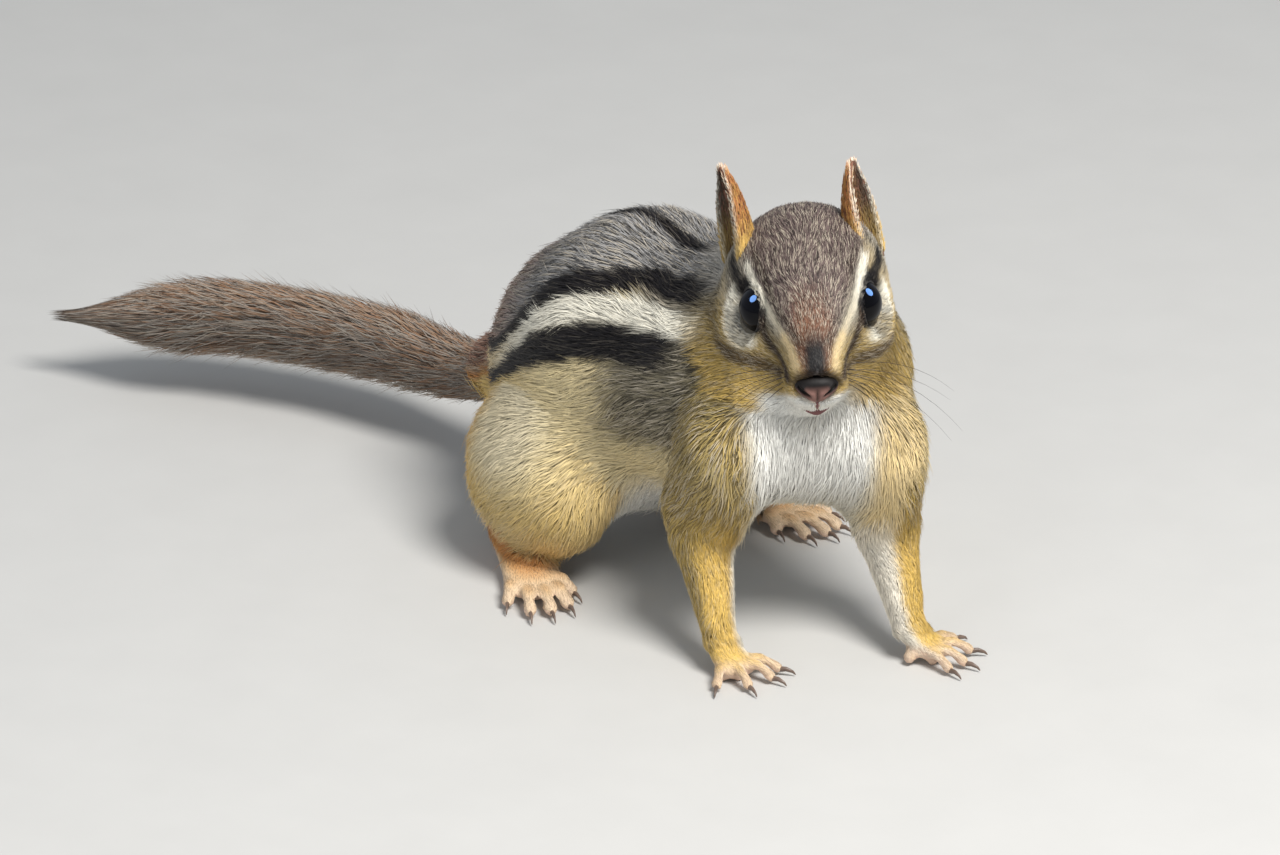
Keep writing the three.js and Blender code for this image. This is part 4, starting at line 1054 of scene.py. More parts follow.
def ear_surface(name, rise, across, offset):
    """Points of an ear and the way out of its cup. rise is 0 to 1 from base to tip, across -1 to 1"""
    base, axis, opening = (np.array(v) for v in EARS[name])
    axis = unit(axis)
    sideways = unit(np.cross(opening, axis))
    opening = np.cross(axis, sideways)
    risen = np.sin(rise * np.pi / 2) ** 1.1
    taper = np.maximum(1 - risen**2.4, 0.006) ** 0.62
    half = EAR_WIDTH / 2 * taper * mix(0.8, 1.04, np.minimum(rise * 2.4, 1))
    curl = np.radians(mix(112, 52, rise**0.7))
    radius = half / np.sin(np.minimum(curl, np.pi / 2))
    angle = curl * across
    lean = rise - 0.1 * ramp(0.7, 1.05, rise) ** 2
    cup = radius * (1 - np.cos(angle)) - 0.5 * EAR_WIDTH * (1 - lean) - 0.9 * np.sin(lean * np.pi)
    parts = (EAR_HEIGHT * risen, cup, radius * np.sin(angle), angle)
    height, cup, aside, turn = (part[..., None] for part in parts)
    out = sideways * np.sin(turn) - opening * np.cos(turn)
    return base + axis * height + opening * cup + sideways * aside + out * np.asarray(offset)[..., None], out


def ear_shell(name):
    """An ear's closed shell, with its unwrap: its outside in the left half and its inside in the right"""
    up, wide = 40, 36
    rise, across = np.meshgrid(np.linspace(0, 1, up + 1), np.linspace(-1, 1, wide + 1), indexing="ij")
    half = 0.3 * (1 - 0.65 * np.abs(across) ** 6)
    fold = 0.55 * np.exp(-(((across - 0.35) / 0.16) ** 2)) * np.sin(np.pi * np.minimum(rise * 1.3, 1))
    outside, out = ear_surface(name, rise, across, half)
    inside, _ = ear_surface(name, rise, across, -half)
    inside = inside - out * fold[..., None]
    rows = np.concatenate((outside, inside[:, ::-1]), axis=1)
    around = rows.shape[1]
    s = np.arange(wide)
    opposite = around - 1 - s
    last = up * around
    low = np.c_[s + 1, s, opposite, opposite - 1]
    high = last + np.c_[s, s + 1, opposite - 1, opposite]
    u = np.concatenate((0.25 + 0.22 * across, 0.75 + 0.22 * across[:, ::-1]), axis=1)
    v = np.concatenate((rise, rise), axis=1) * 0.9 + 0.05
    points, faces = rows.reshape(-1, 3), np.vstack((ring_grid(up + 1, around), low, high))
    if dot(vertex_normals(points, faces), points - points.mean(axis=0)).mean() < 0:
        faces = faces[:, ::-1]
    return points, faces, np.c_[u.ravel(), v.ravel()]


def ear_hair(rng, name, count):
    """Short hair on both faces of an ear, longer and pale along its rim"""
    heights = np.linspace(0.0, 0.985, 60)
    share = np.cumsum(np.maximum(1 - heights**2.4, 0) ** 0.62 + 0.1 + 0.5 * (1 - heights) ** 2)
    risen = np.interp(rng.random(count), (share - share[0]) / (share[-1] - share[0]), heights)
    rise = np.arcsin(risen ** (1 / 1.1)) * 2 / np.pi
    across = np.sin(rng.uniform(-0.5, 0.5, count) * np.pi)
    inner = (rng.random(count) < 0.38) & (risen < 0.93)
    face = np.where(inner, -1.0, 1.0)
    rim = np.maximum(ramp(0.88, 1.0, np.abs(across)), ramp(0.9, 0.98, risen))
    root, out = ear_surface(name, rise, across, 0.2 * face)
    above, _ = ear_surface(name, np.minimum(rise + 0.02, 1), across, 0.2 * face)
    below, _ = ear_surface(name, np.maximum(rise - 0.02, 0), across, 0.2 * face)
    middle, _ = ear_surface(name, rise, 0 * across, 0.2 * face)
    ahead = unit(mix(unit(above - below), unit(np.array(EARS[name][1])), ramp(0.86, 0.97, risen)[:, None]))
    edge = np.cross(out, ahead)
    edge *= np.sign(dot(edge, above - middle))
    side_rim = rim * ramp(0.97, 0.9, risen)
    splay = rng.uniform(0.1, 0.45, count) * side_rim + rng.normal(0, 0.08, count)
    lie = unit(ahead + edge * splay[:, None])
    length = mix(2.1, 1.1, rim) * rng.uniform(0.7, 1.15, count) * mix(1.6, 1, np.minimum(rise * 3, 1))
    height = mix(0.28, 0.2, rim) * rng.uniform(0.4, 1.3, count)
    normal = out * face[:, None]
    bend = root + lie * (0.5 * length)[:, None] + normal * height[:, None]
    tip = root + lie * length[:, None] + normal * (height * rng.uniform(0.6, 1.5, count))[:, None]
    c = palette()
    rust = np.array(tone(184, 112, 70))
    outer = mix(rust, c.gold, rng.uniform(0.0, 0.45, count)[:, None])
    outer = mix(outer, c.brown, rng.uniform(0, 0.3, count)[:, None])
    # Inside the cup the hair is rust and gold to the front and dark brown to the rear: partly the ear's own
    # colour and partly painted shade deep in the cup
    forward = ramp(0.9, -0.3, -across if name == "left" else across)[:, None]
    inside = mix(c.brown * 0.8, mix(rust, c.gold, 0.3), forward * rng.uniform(0.4, 1, (count, 1)))
    colour = np.where(inner[:, None], inside, outer)
    colour = mix(colour, c.cream, (rim * rng.uniform(0.15, 0.9, count))[:, None])
    foot = ramp(0.42, 0.1, rise) * np.where(inner, 0.4, 1.0)
    colour = mix(colour, mix(c.gold, c.olive, 0.3), foot[:, None] * 0.85)
    width = rng.uniform(0.13, 0.22, count)[:, None]
    path = np.stack((root, bend, tip), axis=1)
    points = tuft_points(path, np.cross(normal, lie)[:, None], normal[:, None], width, 0.4)
    shade = unit(mix(normal, edge, 0.8 * side_rim[:, None]))
    shade = unit(mix(shade, np.array((0.4, 0, 1.0)), ramp(0.8, 0.93, risen)[:, None]))
    return {
        "points": from_head(points),
        "colours": colour[:, None],
        "ticks": np.full(count, 0.12),
        "lot": rng.random(count),
        "uv": np.c_[np.where(inner, 0.75, 0.25) + 0.22 * across, rise * 0.9 + 0.05],
        "normals": shade @ HEAD_TURN.T,
    }


# The tail: long banded hair that leaves the core at a slant


def tail_hair(rng, count):
    """The tufts of the tail, longest in its middle, with a grey and black fringe and a dark tip"""
    knots = 200
    core = curve_points(TAIL_LINE, knots)
    total = size(np.diff(core, axis=0)).sum()
    ahead = unit(np.gradient(core, axis=0))
    sideways = unit(np.cross((0, 0, 1), ahead))
    frames = (core, ahead, sideways, np.cross(ahead, sideways))

    def at(distance):
        """Place and frame at a distance along the line, straight on beyond its ends"""
        step = np.clip(distance / total, 0, 1) * (knots - 1)
        place, forward, side, up = (interpolated(step, np.arange(knots), values) for values in frames)
        beyond = distance - np.clip(distance, 0, total)
        return place + forward * beyond[:, None], forward, side, up

    start = rng.random(count) ** 0.92 * (total + 7.0) - 7.0
    share = np.clip(start / total, 0, 1)
    angle = rng.uniform(0, 2 * np.pi, count)
    length = mix(9.5, 14.5, ramp(0, 0.35, share)) * rng.uniform(0.7, 1.12, count)
    radius = tail_core(share)
    reach = TAIL_HAIR_RADIUS * mix(0.72, 1.0, ramp(-0.05, 0.25, start / total))
    reach = reach * mix(1, 0.5, ramp(0.7, 1, share))
    reach = radius + (reach - radius) * rng.uniform(0.3, 1.15, count) ** 0.6
    stray = 1.08 + rng.uniform(0.1, 0.5, count) * (rng.random(count) < 0.2)
    path, ups, sides = [], [], []
    for along, outward in ((0, -0.12), (0.32, 0.6), (0.68, 0.93), (1.0, stray)):
        place, forward, side, up = at(start + length * along * 0.93)
        turn = angle + rng.normal(0, 0.1, count) * along
        out = side * np.cos(turn)[:, None] + up * (np.sin(turn) * 0.86)[:, None]
        narrow = mix(1.0, 0.25, ramp(total - 6, total + 14, start + length * along))
        path.append(place + out * (narrow * mix(radius, reach, outward))[:, None])
        ups.append(unit(out))
        sides.append(unit(np.cross(out, forward)))
    path, ups, sides = (np.stack(v, axis=1) for v in (path, ups, sides))
    path[..., 2] = np.maximum(path[..., 2], 0.3)
    width = rng.uniform(0.17, 0.3, count)[:, None] * np.array((1.0, 0.8))

    c = palette()
    fringe = np.abs(np.cos(angle))[:, None] ** 1.5
    base = mix(c.rust, c.rufous, 0.3 * rng.random(count)[:, None])
    grey = rng.random(count)[:, None] < mix(0.3, 0.55, fringe)
    base = np.where(grey, mix(base, c.frost * 0.8, 0.7), base)
    end = ramp(0.72, 1.0, share)[:, None]
    dark = mix(base, c.black, np.maximum(mix(0.15, 0.85, fringe), 0.85 * end))
    pale_end = rng.random(count)[:, None] < mix(0.5, 0.2, end)
    tip = np.where(pale_end, c.frost, mix(dark, c.black, 0.4))
    bands = [base] + [mix(base, dark, 0.1)] * 3 + [mix(base, dark, 0.75)] * 3 + [tip]
    below = [Skin.tree.find_nearest(p)[2] for p in path[:, 0].tolist()]
    return {
        "points": tuft_points(path, sides[:, 1:3], ups[:, 1:3], width, 0.45),
        "colours": np.stack(bands, axis=1),
        "ticks": np.full(count, 0.3),
        "lot": rng.random(count),
        "uv": Skin.corner_uv[below].mean(axis=1),
        "normals": ups[:, 0],
    }


# The nose pad and the mouth


def nose_shape():
    """A rounded pad, cleft below, with a comma-shaped nostril on each side, and how dark it is at each point:
    its own dark top, darker sides, and painted shade in the nostrils and the cleft
    """
    around, down = 96, 64
    rows = np.linspace(-1, 1, down + 1) * np.pi / 2
    lat, lon = np.meshgrid(rows, np.linspace(0, 2 * np.pi, around, endpoint=False), indexing="ij")
    out = np.stack((np.cos(lat) * np.cos(lon), np.cos(lat) * np.sin(lon), np.sin(lat)), axis=-1)
    x, y, z = np.moveaxis(np.sign(out) * np.abs(out) ** 0.9 * NOSE_HALF, -1, 0)
    z = z * (1 - 0.2 * ramp(0.0, 0.3, out[..., 2]))
    side = np.abs(y)
    y = y * (1 - 0.42 * ramp(0.2, -1.0, out[..., 2]))
    front = ramp(0.2, 0.8, out[..., 0])
    cleft = np.exp(-((side / 0.32) ** 2)) * ramp(0.9, -0.6, z)
    slit_z = -0.8 + 0.75 * (side - 1.6)
    slit = np.exp(-(((z - slit_z) / mix(0.3, 0.55, ramp(1.4, 2.6, side))) ** 2))
    slit *= ramp(1.1, 1.7, side) * ramp(3.6, 3.1, side)
    wing = np.exp(-(((z - slit_z - 0.75) / 0.45) ** 2)) * ramp(0.5, 1.2, side)
    x = x - front * cleft * 0.55 - ramp(-0.1, 0.4, out[..., 0]) * slit * 0.8 + front * wing * 0.22
    # Painted shade: the nostrils and the cleft are darkened; the dark top is the pad's own colour, and the
    # sides are darker
    shade = ramp(-0.4, 1.3, z) + 1.4 * slit + 0.7 * front * cleft + 0.4 * ramp(1.8, 2.8, side)
    points = np.stack((x, y, z), axis=-1).reshape(-1, 3)
    return (from_head(points + NOSE_AT), ring_grid(down + 1, around)), np.clip(shade, 0, 1).ravel()


def on_skin(origin, direction):
    """Where a ray from inside the head leaves the skin, in the head's frame"""
    reach = 60.0
    hit = Skin.tree.ray_cast(from_head(origin), Vector(HEAD_TURN @ unit(np.array(direction, float))), reach)
    if hit[0] is None:
        raise RuntimeError("a ray from inside the head meets no skin")
    return to_head(np.array(hit[0]))


def mouth_shape():
    """The dark line of the lips, widest under the nose, and the cleft that joins it to the nose"""
    ahead = 9.5
    turns = np.linspace(-MOUTH_HALF_TURN, MOUTH_HALF_TURN, 21)
    share = np.abs(turns) / MOUTH_HALF_TURN
    ways = [(ahead * c, ahead * s, dip) for (c, s), dip in zip(map(heading, turns), -3.3 + 0.6 * share**2)]
    line = np.array([on_skin(MOUTH_FROM, way) for way in ways])
    line[:, 2] -= 0.25 * np.exp(-((share / 0.2) ** 2))
    lips = loft(line, mix(0.75, 0.1, ramp(0.05, 0.98, share)), mix(0.42, 0.12, share), (0, 0, 1), 12)
    split = [on_skin(MOUTH_FROM, (ahead, 0, z)) for z in (2.2, 1.2, 0.2, -0.8, -1.5)]
    cleft = loft(split, (0.2, 0.26, 0.28, 0.28, 0.22), np.full(5, 0.45), (0, 1, 0), 10)
    points, faces = joined([lips, cleft])
    return from_head(points), faces


# Lids, claws and whiskers


def lid_ring(side):
    """The rim of an eye's lids, from under the eyeball's surface out to below the coat"""
    gaze, up, forward = eye_frame(side)
    centre = eye_centre(side)
    around = 80
    angle = np.linspace(0, 2 * np.pi, around, endpoint=False)
    reach = lid_reach(np.degrees(angle))
    scales = (0.86, 0.93, 0.97, 1.02, 1.07, 1.14, 1.26, 1.4)
    rises = (-0.25, 0.02, 0.2, 0.34, 0.36, 0.26, 0.0, -0.4)
    rays = []
    for scale in scales:
        along, high = np.cos(angle) * scale * reach, np.sin(angle) * scale * reach
        rays.append(unit(gaze + along[:, None] * forward + high[:, None] * up))
    rows = [centre + ray * (EYE_RADIUS + rise) for ray, rise in zip(rays, rises)]
    rows += [centre + ray * (EYE_RADIUS - 0.6) for ray in rays[::-1]]
    faces = ring_grid(len(rows), around, closed=True)
    return from_head(np.vstack(rows)), faces[:, ::-1] if side > 0 else faces


def claw_shape(root, reach, turn, radius):
    """A claw that curves down from the tip of its toe"""
    _, tip, ahead = toe_line(root, reach, turn, radius)
    share = np.array((-0.5, -0.2, 0.1, 0.35, 0.6, 0.8, 0.93, 1.0))
    line = tip + ahead * (share * CLAW_LENGTH)[:, None]
    line[:, 2] = np.interp(share, (-0.5, 0.35, 0.8, 1.0), (radius, 1.22 * radius, 0.85 * radius, 0.36))
    wide = np.array((0.3, 0.38, 0.36, 0.32, 0.26, 0.19, 0.12, 0.04))
    return loft(line, wide, wide * 1.35, (-ahead[1], ahead[0], 0), 10)


def whisker_line(rng, side, row, place):
    """A whisker that leaves the pad sideways and forwards, then bends back and down"""
    at = (np.array(PAD_AT) + (-1.5 * place + 1.0, 0, -1.0 * row + 1.4)) * (1, side, 1)
    outward = unit(np.array((0.2 - 0.2 * place, side * 1.0, 0.02 - 0.28 * row)))
    root = on_skin(at - outward * 5.0, outward)
    length = (17 + 4.2 * place - 1.0 * abs(row - 1)) * rng.uniform(0.85, 1.1)
    t = np.linspace(0, 1, 9)[:, None]
    bend = np.array((-0.3, -0.25 * side, -1.05)) * rng.uniform(0.75, 1.1)
    return from_head(root - outward * 0.6 + outward * (length * t) + bend * (length * 0.55 * t**2))


def whisker_shapes(rng, count):
    parts = []
    for side in SIDES.values():
        for i in range(count):
            line = whisker_line(rng, side, i % 3, i // 3 + rng.uniform(-0.2, 0.2))
            thick = 0.065 * (1 - 0.85 * np.linspace(0, 1, len(line)))
            parts.append(loft(line, thick, thick, (0.3, 0.2, 1.0), 5))
    return joined(parts)


# Materials


def new_material(name):
    material = bpy.data.materials.new(name)
    material.use_nodes = True
    return material, material.node_tree, material.node_tree.nodes["Principled BSDF"]


def feed(tree, node, inputs):
    """Sets inputs of a node: each takes a number, a colour or the output that feeds it"""
    for name, value in inputs.items():
        socket = node.inputs[name]
        if isinstance(value, bpy.types.NodeSocket):
            tree.links.new(value, socket)
        else:
            socket.default_value = (*value, 1) if socket.type == "RGBA" else value


def add_node(tree, kind, output, inputs, **settings):
    """Adds a node with its settings and inputs, and gives one of its outputs"""
    node = tree.nodes.new("ShaderNode" + kind)
    for name, value in settings.items():
        setattr(node, name, value)
    feed(tree, node, inputs)
    return node.outputs[output]


def attribute(tree, name, output="Fac"):
    return add_node(tree, "Attribute", output, {}, attribute_name=name)


def noise(tree, scale):
    """Noise in the object's own coordinates, with its scale in cells per metre"""
    place = add_node(tree, "TexCoord", "Object", {})
    values = {"Vector": place, "Scale": scale, "Detail": 4.0, "Roughness": 0.55}
    return add_node(tree, "TexNoise", "Fac", values)


def blended(tree, factor, a, b, blend="MIX"):
    inputs = {"Factor": factor, "A": a, "B": b}
    return add_node(tree, "Mix", "Result", inputs, data_type="RGBA", blend_type=blend)


def mapped(tree, value, low, high, to_low=0.0, to_high=1.0, kind="SMOOTHSTEP"):
    inputs = {"Value": value, "From Min": low, "From Max": high, "To Min": to_low, "To Max": to_high}
    return add_node(tree, "MapRange", 0, inputs, interpolation_type=kind)


def product(tree, first, *factors):
    for factor in factors:
        first = add_node(tree, "Math", 0, {0: first, 1: factor}, operation="MULTIPLY")
    return first


def bump(tree, height, strength, distance):
    values = {"Height": height, "Strength": strength, "Distance": distance * MM}
    return add_node(tree, "Bump", "Normal", values)


def banded_hair_group():
    """Colour of a hair: its marking's colour, darkened towards the root as painted shade deep in the coat,
    with some hairs dark or pale at the tip
    """
    name = "Banded Hair"
    if name in bpy.data.node_groups:
        return bpy.data.node_groups[name]
    group = bpy.data.node_groups.new(name, "ShaderNodeTree")
    for label, kind in {"Marking": "Color", "Hair": "Vector", "Root Shade": "Float"}.items():
        group.interface.new_socket(label, in_out="INPUT", socket_type="NodeSocket" + kind)
    for label, kind in {"Color": "Color", "Roughness": "Float"}.items():
        group.interface.new_socket(label, in_out="OUTPUT", socket_type="NodeSocket" + kind)
    enter = group.nodes.new("NodeGroupInput").outputs
    split = group.nodes.new("ShaderNodeSeparateXYZ")
    group.links.new(enter["Hair"], split.inputs[0])
    along, lot, ticks = split.outputs
    dark = product(group, mapped(group, lot, 0.62, 0.80), ticks, 0.80)
    pale = product(group, mapped(group, lot, 0.30, 0.20), ticks, mapped(group, along, 0.15, 0.75), 0.8)
    colour = blended(group, dark, enter["Marking"], (0.012, 0.009, 0.007))
    colour = blended(group, pale, colour, (0.62, 0.54, 0.42))
    # Painted shade: each hair is darkened towards its root, standing in for the shade deep in the coat
    lift = mapped(group, along, 0.0, 0.8, enter["Root Shade"])
    grey = add_node(group, "CombineColor", 0, {0: lift, 1: lift, 2: lift})
    colour = blended(group, 1.0, colour, grey, "MULTIPLY")
    value = mapped(group, lot, 0.0, 1.0, 0.86, 1.14, "LINEAR")
    colour = add_node(group, "HueSaturation", 0, {"Value": value, "Color": colour})
    rough = mapped(group, along, 0.0, 1.0, 0.62, 0.5)
    feed(group, group.nodes.new("NodeGroupOutput"), {"Color": colour, "Roughness": rough})
    return group


def coat_material(name):
    material, tree, shader = new_material(name)
    hair = tree.nodes.new("ShaderNodeGroup")
    hair.node_tree = banded_hair_group()
    marking = attribute(tree, "markings", "Color")
    # Painted shade at the root: each hair's root is darkened to 0.6 of its colour
    feed(tree, hair, {"Root Shade": 0.6, "Marking": marking, "Hair": attribute(tree, "hair", "Vector")})
    colour, roughness = hair.outputs
    feed(tree, shader, {"Base Color": colour, "Roughness": roughness, "Specular IOR Level": 0.3})
    return material


def skin_material():
    """The markings, darkened under the coat as painted shade between the tufts, and pink with fine cells
    where the skin is bare
    """
    material, tree, shader = new_material("skin")
    # Painted shade: the skin under the coat is darkened, for the shade between the tufts
    under = blended(tree, 1.0, attribute(tree, "markings", "Color"), (0.55, 0.52, 0.48), "MULTIPLY")
    flush = blended(tree, noise(tree, 900.0), tone(198, 162, 138), tone(230, 204, 180))
    whole = blended(tree, attribute(tree, "bare"), under, flush)
    place = add_node(tree, "TexCoord", "Object", {})
    cells = add_node(tree, "TexVoronoi", "Distance", {"Vector": place, "Scale": 2600.0})
    feed(tree, shader, {"Base Color": whole, "Roughness": 0.55, "Normal": bump(tree, cells, 0.5, 0.1)})
    return material


def finish(name, tones, scale, roughness, bump_height=0.0, specular=0.5, dark=None):
    """A material that wanders between two tones, with a fine bump, dark where the mesh's shade is 1"""
    material, tree, shader = new_material(name)
    grain = noise(tree, scale)
    colour = blended(tree, grain, *tones)
    if dark:
        colour = blended(tree, attribute(tree, "shade"), colour, dark)
    feed(tree, shader, {"Base Color": colour, "Roughness": roughness, "Specular IOR Level": specular})
    if bump_height:
        feed(tree, shader, {"Normal": bump(tree, grain, 0.6, bump_height)})
    return material


# Operators


class CHIPMUNK_OT_stage(bpy.types.Operator):
    """Sets the pale floor, the soft lights and the camera"""

    bl_idname = "chipmunk.stage"
    bl_label = "Stage"

    def execute(self, context):
        scene, settings = context.scene, context.scene.chipmunk_stage
        pale = np.array(settings.floor_colour)
        corners = FLOOR_HALF * np.array(((-1, -1, 0), (1, -1, 0), (1, 1, 0), (-1, 1, 0)))
        material = finish("floor", (pale, pale * 0.93), 60.0, 0.7)
        mesh_object("floor", corners, ((0, 1, 2, 3),), material, smooth=False)
        scene.world = bpy.data.worlds.new("sky")
        scene.world.use_nodes = True
        sky = scene.world.node_tree.nodes["Background"]
        feed(scene.world.node_tree, sky, {"Color": (0.86, 0.92, 1.0), "Strength": settings.sky})
        for name, (at, width, colour) in LIGHTS.items():
            kind = name.split("_")[0]
            lamp = bpy.data.lights.new(name, "AREA")
            lamp.energy = getattr(settings, kind)
            lamp.shape = "DISK"
            lamp.size = width * MM
            lamp.color = colour
            at, target = (Vector(to_solids(v)) for v in (at, HEAD_AT if kind == "glint" else LIT_MIDDLE))
            self.place(bpy.data.objects.new(name, lamp), at, target - at)
        self.camera(scene)
        scene.view_settings.view_transform = "Standard"
        return {"FINISHED"}

    def place(self, made, at, way):
        made.location = at
        made.rotation_euler = way.to_track_quat("-Z", "Y").to_euler()
        bpy.context.scene.collection.objects.link(made)

    def camera(self, scene):
        across, ahead = heading(CAMERA_AZIMUTH)
        flat, down = heading(CAMERA_ELEVATION)
        right = np.array((across, ahead, 0))
        view = np.array((-ahead * flat, across * flat, -down))
        aside = (PHOTO_WIDTH / 2 - STANCE_PIXEL[0]) / PIXELS_PER_MM
        above = (STANCE_PIXEL[1] - PHOTO_HEIGHT / 2) / PIXELS_PER_MM
        target = right * aside + np.cross(right, view) * above
        data = bpy.data.cameras.new("camera")
        data.sensor_width = SENSOR_WIDTH
        data.lens = SENSOR_WIDTH * PIXELS_PER_MM * CAMERA_DISTANCE / PHOTO_WIDTH
        data.clip_start, data.clip_end = 0.05, 20.0
        scene.camera = bpy.data.objects.new("camera", data)
        self.place(scene.camera, Vector(to_solids(target - view * CAMERA_DISTANCE)), Vector(view))


class CHIPMUNK_OT_skin(bpy.types.Operator):
    """Makes one skin over all the flesh, inside the solids by the coat's depth"""

    bl_idname = "chipmunk.skin"
    bl_label = "Skin"

    def execute(self, context):
        build_skin()
        skin = dress("skin", (Skin.points, Skin.quads), skin_material(), "fur", *FLESH, "tail")
        put_markings(skin.data, Skin.colours)
        put_attribute(skin.data, "bare", "FLOAT", "value", Skin.bare)
        bpy.ops.object.select_all(action="DESELECT")
        context.view_layer.objects.active = skin
        skin.select_set(True)
        skin.data.uv_layers.new(name="OFBake")
        bpy.ops.object.mode_set(mode="EDIT")
        bpy.ops.mesh.select_all(action="SELECT")
        bpy.ops.uv.smart_project(angle_limit=math.radians(66), island_margin=0.002)
        bpy.ops.object.mode_set(mode="OBJECT")
        uv = read(skin.data.uv_layers["OFBake"].data, "uv", 2)
        Skin.uv = np.zeros((len(Skin.points), 2))
        Skin.uv[Skin.quads.ravel()] = uv
        Skin.corner_uv = uv.reshape(-1, 4, 2)
        return {"FINISHED"}


class CHIPMUNK_OT_eyes(bpy.types.Operator):
    """Makes glossy dark eyes and the rims of their lids"""

    bl_idname = "chipmunk.eyes"
    bl_label = "Eyes"

    def execute(self, context):
        glossy = finish("eye", (tone(4, 3, 3), tone(10, 6, 5)), 400.0, 0.03, specular=0.14)
        rim = finish("lid_rim", (tone(14, 11, 10), tone(30, 23, 20)), 1500.0, 0.5, 0.05)
        mirrored = bpy.data.collections.new("mirrored_in_eyes")
        spared = bpy.data.collections.new("all_but_eyes")
        for name, side in SIDES.items():
            points, faces = ball((0, 0, 0), EYE_RADIUS, 72, 48)
            shape = (from_head(points + eye_centre(side)), faces)
            eye = dress("eyeball_" + name, shape, glossy, "eye", "eye_" + name)
            mirrored.objects.link(eye)
            spared.objects.link(eye)
            dress("lid_" + name, lid_ring(side), rim, "bare_skin")
        for member in spared.collection_objects:
            member.light_linking.link_state = "EXCLUDE"
        for name in LIGHTS:
            linking = bpy.data.objects[name].light_linking
            linking.receiver_collection = mirrored if name.startswith("glint") else spared
        return {"FINISHED"}


class CHIPMUNK_OT_muzzle(bpy.types.Operator):
    """Makes the nose pad, the line of the mouth and the whiskers"""

    bl_idname = "chipmunk.muzzle"
    bl_label = "Muzzle"

    def execute(self, context):
        tones = tone(106, 75, 68), tone(142, 107, 98)
        # The dark tone covers the pad's own dark top and the painted shade in its nostrils and cleft
        pad = finish("nose_pad", tones, 900.0, 0.55, 0.08, specular=0.22, dark=tone(15, 11, 10))
        lips = finish("lips", (tone(84, 40, 42), tone(122, 70, 68)), 900.0, 0.45, 0.04)
        stiff = finish("whisker", (tone(22, 18, 18), tone(44, 36, 32)), 500.0, 0.4)
        shape, shade = nose_shape()
        nose = dress("nose_pad", shape, pad, "bare_skin")
        put_attribute(nose.data, "shade", "FLOAT", "value", shade)
        dress("lips", mouth_shape(), lips, "bare_skin")
        dress("whiskers", whisker_shapes(draws(3), context.scene.chipmunk_coat.whiskers), stiff, "fur")
        return {"FINISHED"}


class CHIPMUNK_OT_ears(bpy.types.Operator):
    """Makes thin cupped ears with short hair and pale rims"""

    bl_idname = "chipmunk.ears"
    bl_label = "Ears"

    def execute(self, context):
        rng = draws(2)
        bare = finish("ear_skin", (tone(92, 58, 46), tone(136, 92, 70)), 700.0, 0.6, 0.06)
        hair = coat_material("ear_hair")
        for name in SIDES:
            points, faces, unwrap = ear_shell(name)
            ear = dress("ear_shell_" + name, (from_head(points), faces), bare, "ear_fur", "ear_" + name)
            put_unwrap(ear.data, faces, unwrap)
            tufts = ear_hair(rng, name, context.scene.chipmunk_coat.ear_tufts)
            coat_pieces("ear_hair_" + name, hair, "ear_fur", tufts)
        return {"FINISHED"}


class CHIPMUNK_OT_claws(bpy.types.Operator):
    """Makes a curved claw on every toe"""

    bl_idname = "chipmunk.claws"
    bl_label = "Claws"

    def execute(self, context):
        horn = finish("claw", (tone(64, 50, 44), tone(132, 112, 98)), 420.0, 0.32, 0.03)
        for name, side, at, turn, toes, radius in feet():
            claws = joined([claw_shape(*t, radius) for t in toes])
            dress("claws_" + name, foot_to_body(claws, at, turn, side), horn, "bare_skin")
        return {"FINISHED"}


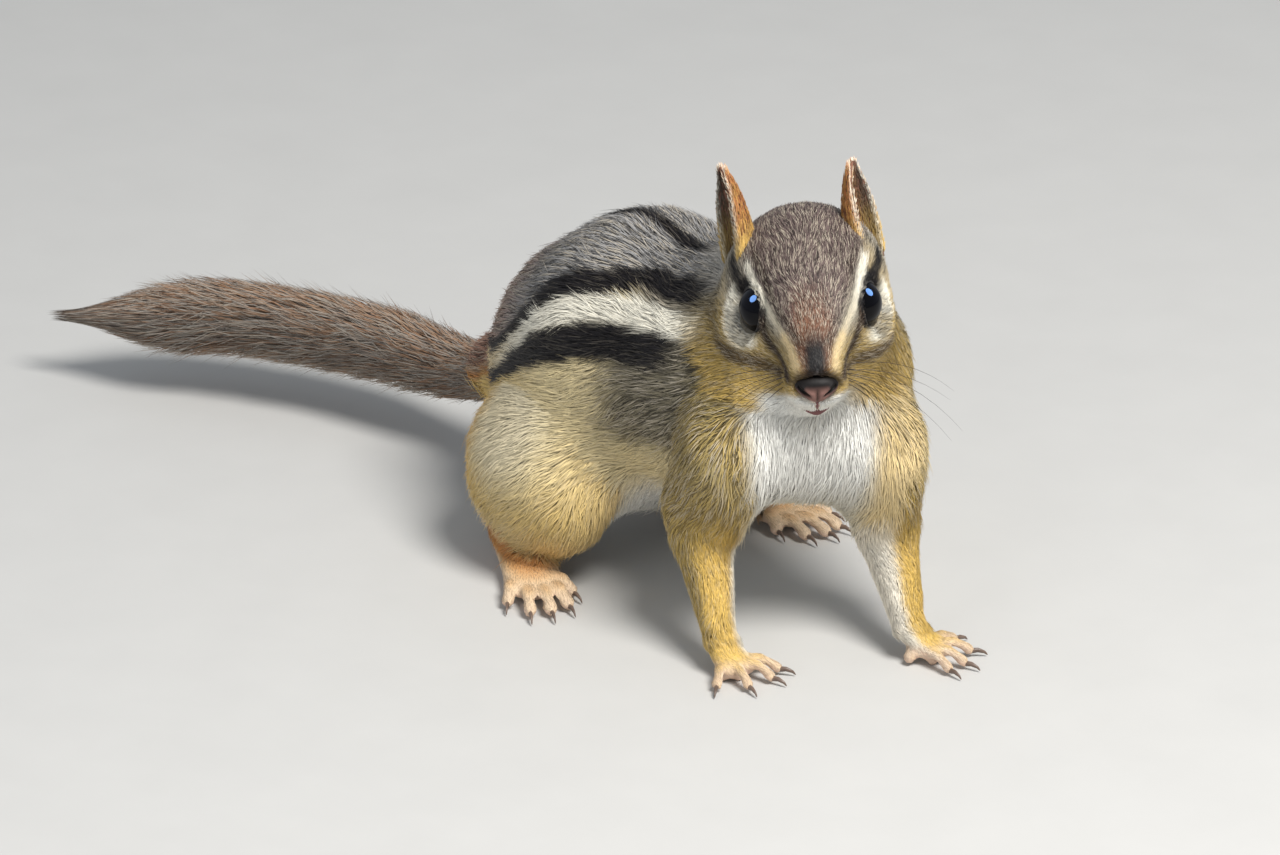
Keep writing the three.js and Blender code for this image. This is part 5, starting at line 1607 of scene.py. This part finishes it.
class CHIPMUNK_OT_coat(bpy.types.Operator):
    """Grows the short coat of body, head and legs in overlapping tufts"""

    bl_idname = "chipmunk.coat"
    bl_label = "Coat"

    def execute(self, context):
        material = coat_material("coat")
        tufts, owner = grow_coat(draws(0), context.scene.chipmunk_coat)
        left = np.ones(len(owner), bool)
        for name, nodes in COAT_REGIONS.items():
            chosen = np.isin(owner, [i for i, node in enumerate(FLESH) if node.startswith(nodes)])
            left &= ~chosen
            coat_pieces(name, material, "fur", {key: values[chosen] for key, values in tufts.items()})
        coat_pieces("coat_body", material, "fur", {key: values[left] for key, values in tufts.items()})
        return {"FINISHED"}


class CHIPMUNK_OT_tail(bpy.types.Operator):
    """Grows the long banded hair of the tail"""

    bl_idname = "chipmunk.tail"
    bl_label = "Tail"

    def execute(self, context):
        tufts = tail_hair(draws(1), context.scene.chipmunk_coat.tail_tufts)
        coat_pieces("coat_tail", coat_material("tail_hair"), "tail_hair", tufts)
        return {"FINISHED"}


class CHIPMUNK_PT_panel(bpy.types.Panel):
    """Lists the steps that dress the chipmunk"""

    bl_idname = "CHIPMUNK_PT_panel"
    bl_label = "Chipmunk"
    bl_space_type = "VIEW_3D"
    bl_region_type = "UI"
    bl_category = "Chipmunk"

    def draw(self, context):
        for operator in OPERATORS:
            self.layout.operator(operator.bl_idname)


OPERATORS = (
    CHIPMUNK_OT_stage,
    CHIPMUNK_OT_skin,
    CHIPMUNK_OT_eyes,
    CHIPMUNK_OT_muzzle,
    CHIPMUNK_OT_ears,
    CHIPMUNK_OT_claws,
    CHIPMUNK_OT_coat,
    CHIPMUNK_OT_tail,
)
GROUPS = {"chipmunk_colours": CoatColours, "chipmunk_coat": CoatSettings, "chipmunk_stage": StageSettings}
KINDS = (*GROUPS.values(), *OPERATORS, CHIPMUNK_PT_panel)


def register():
    for kind in KINDS:
        bpy.utils.register_class(kind)
    for name, group in GROUPS.items():
        setattr(bpy.types.Scene, name, PointerProperty(type=group))


def unregister():
    for name in GROUPS:
        delattr(bpy.types.Scene, name)
    for kind in reversed(KINDS):
        bpy.utils.unregister_class(kind)


def main():
    register()
    bpy.ops.chipmunk.stage()
    bpy.ops.chipmunk.skin()
    bpy.ops.chipmunk.eyes()
    bpy.ops.chipmunk.muzzle()
    bpy.ops.chipmunk.ears()
    bpy.ops.chipmunk.claws()
    bpy.ops.chipmunk.coat()
    bpy.ops.chipmunk.tail()


if __name__ == "__main__":
    main()
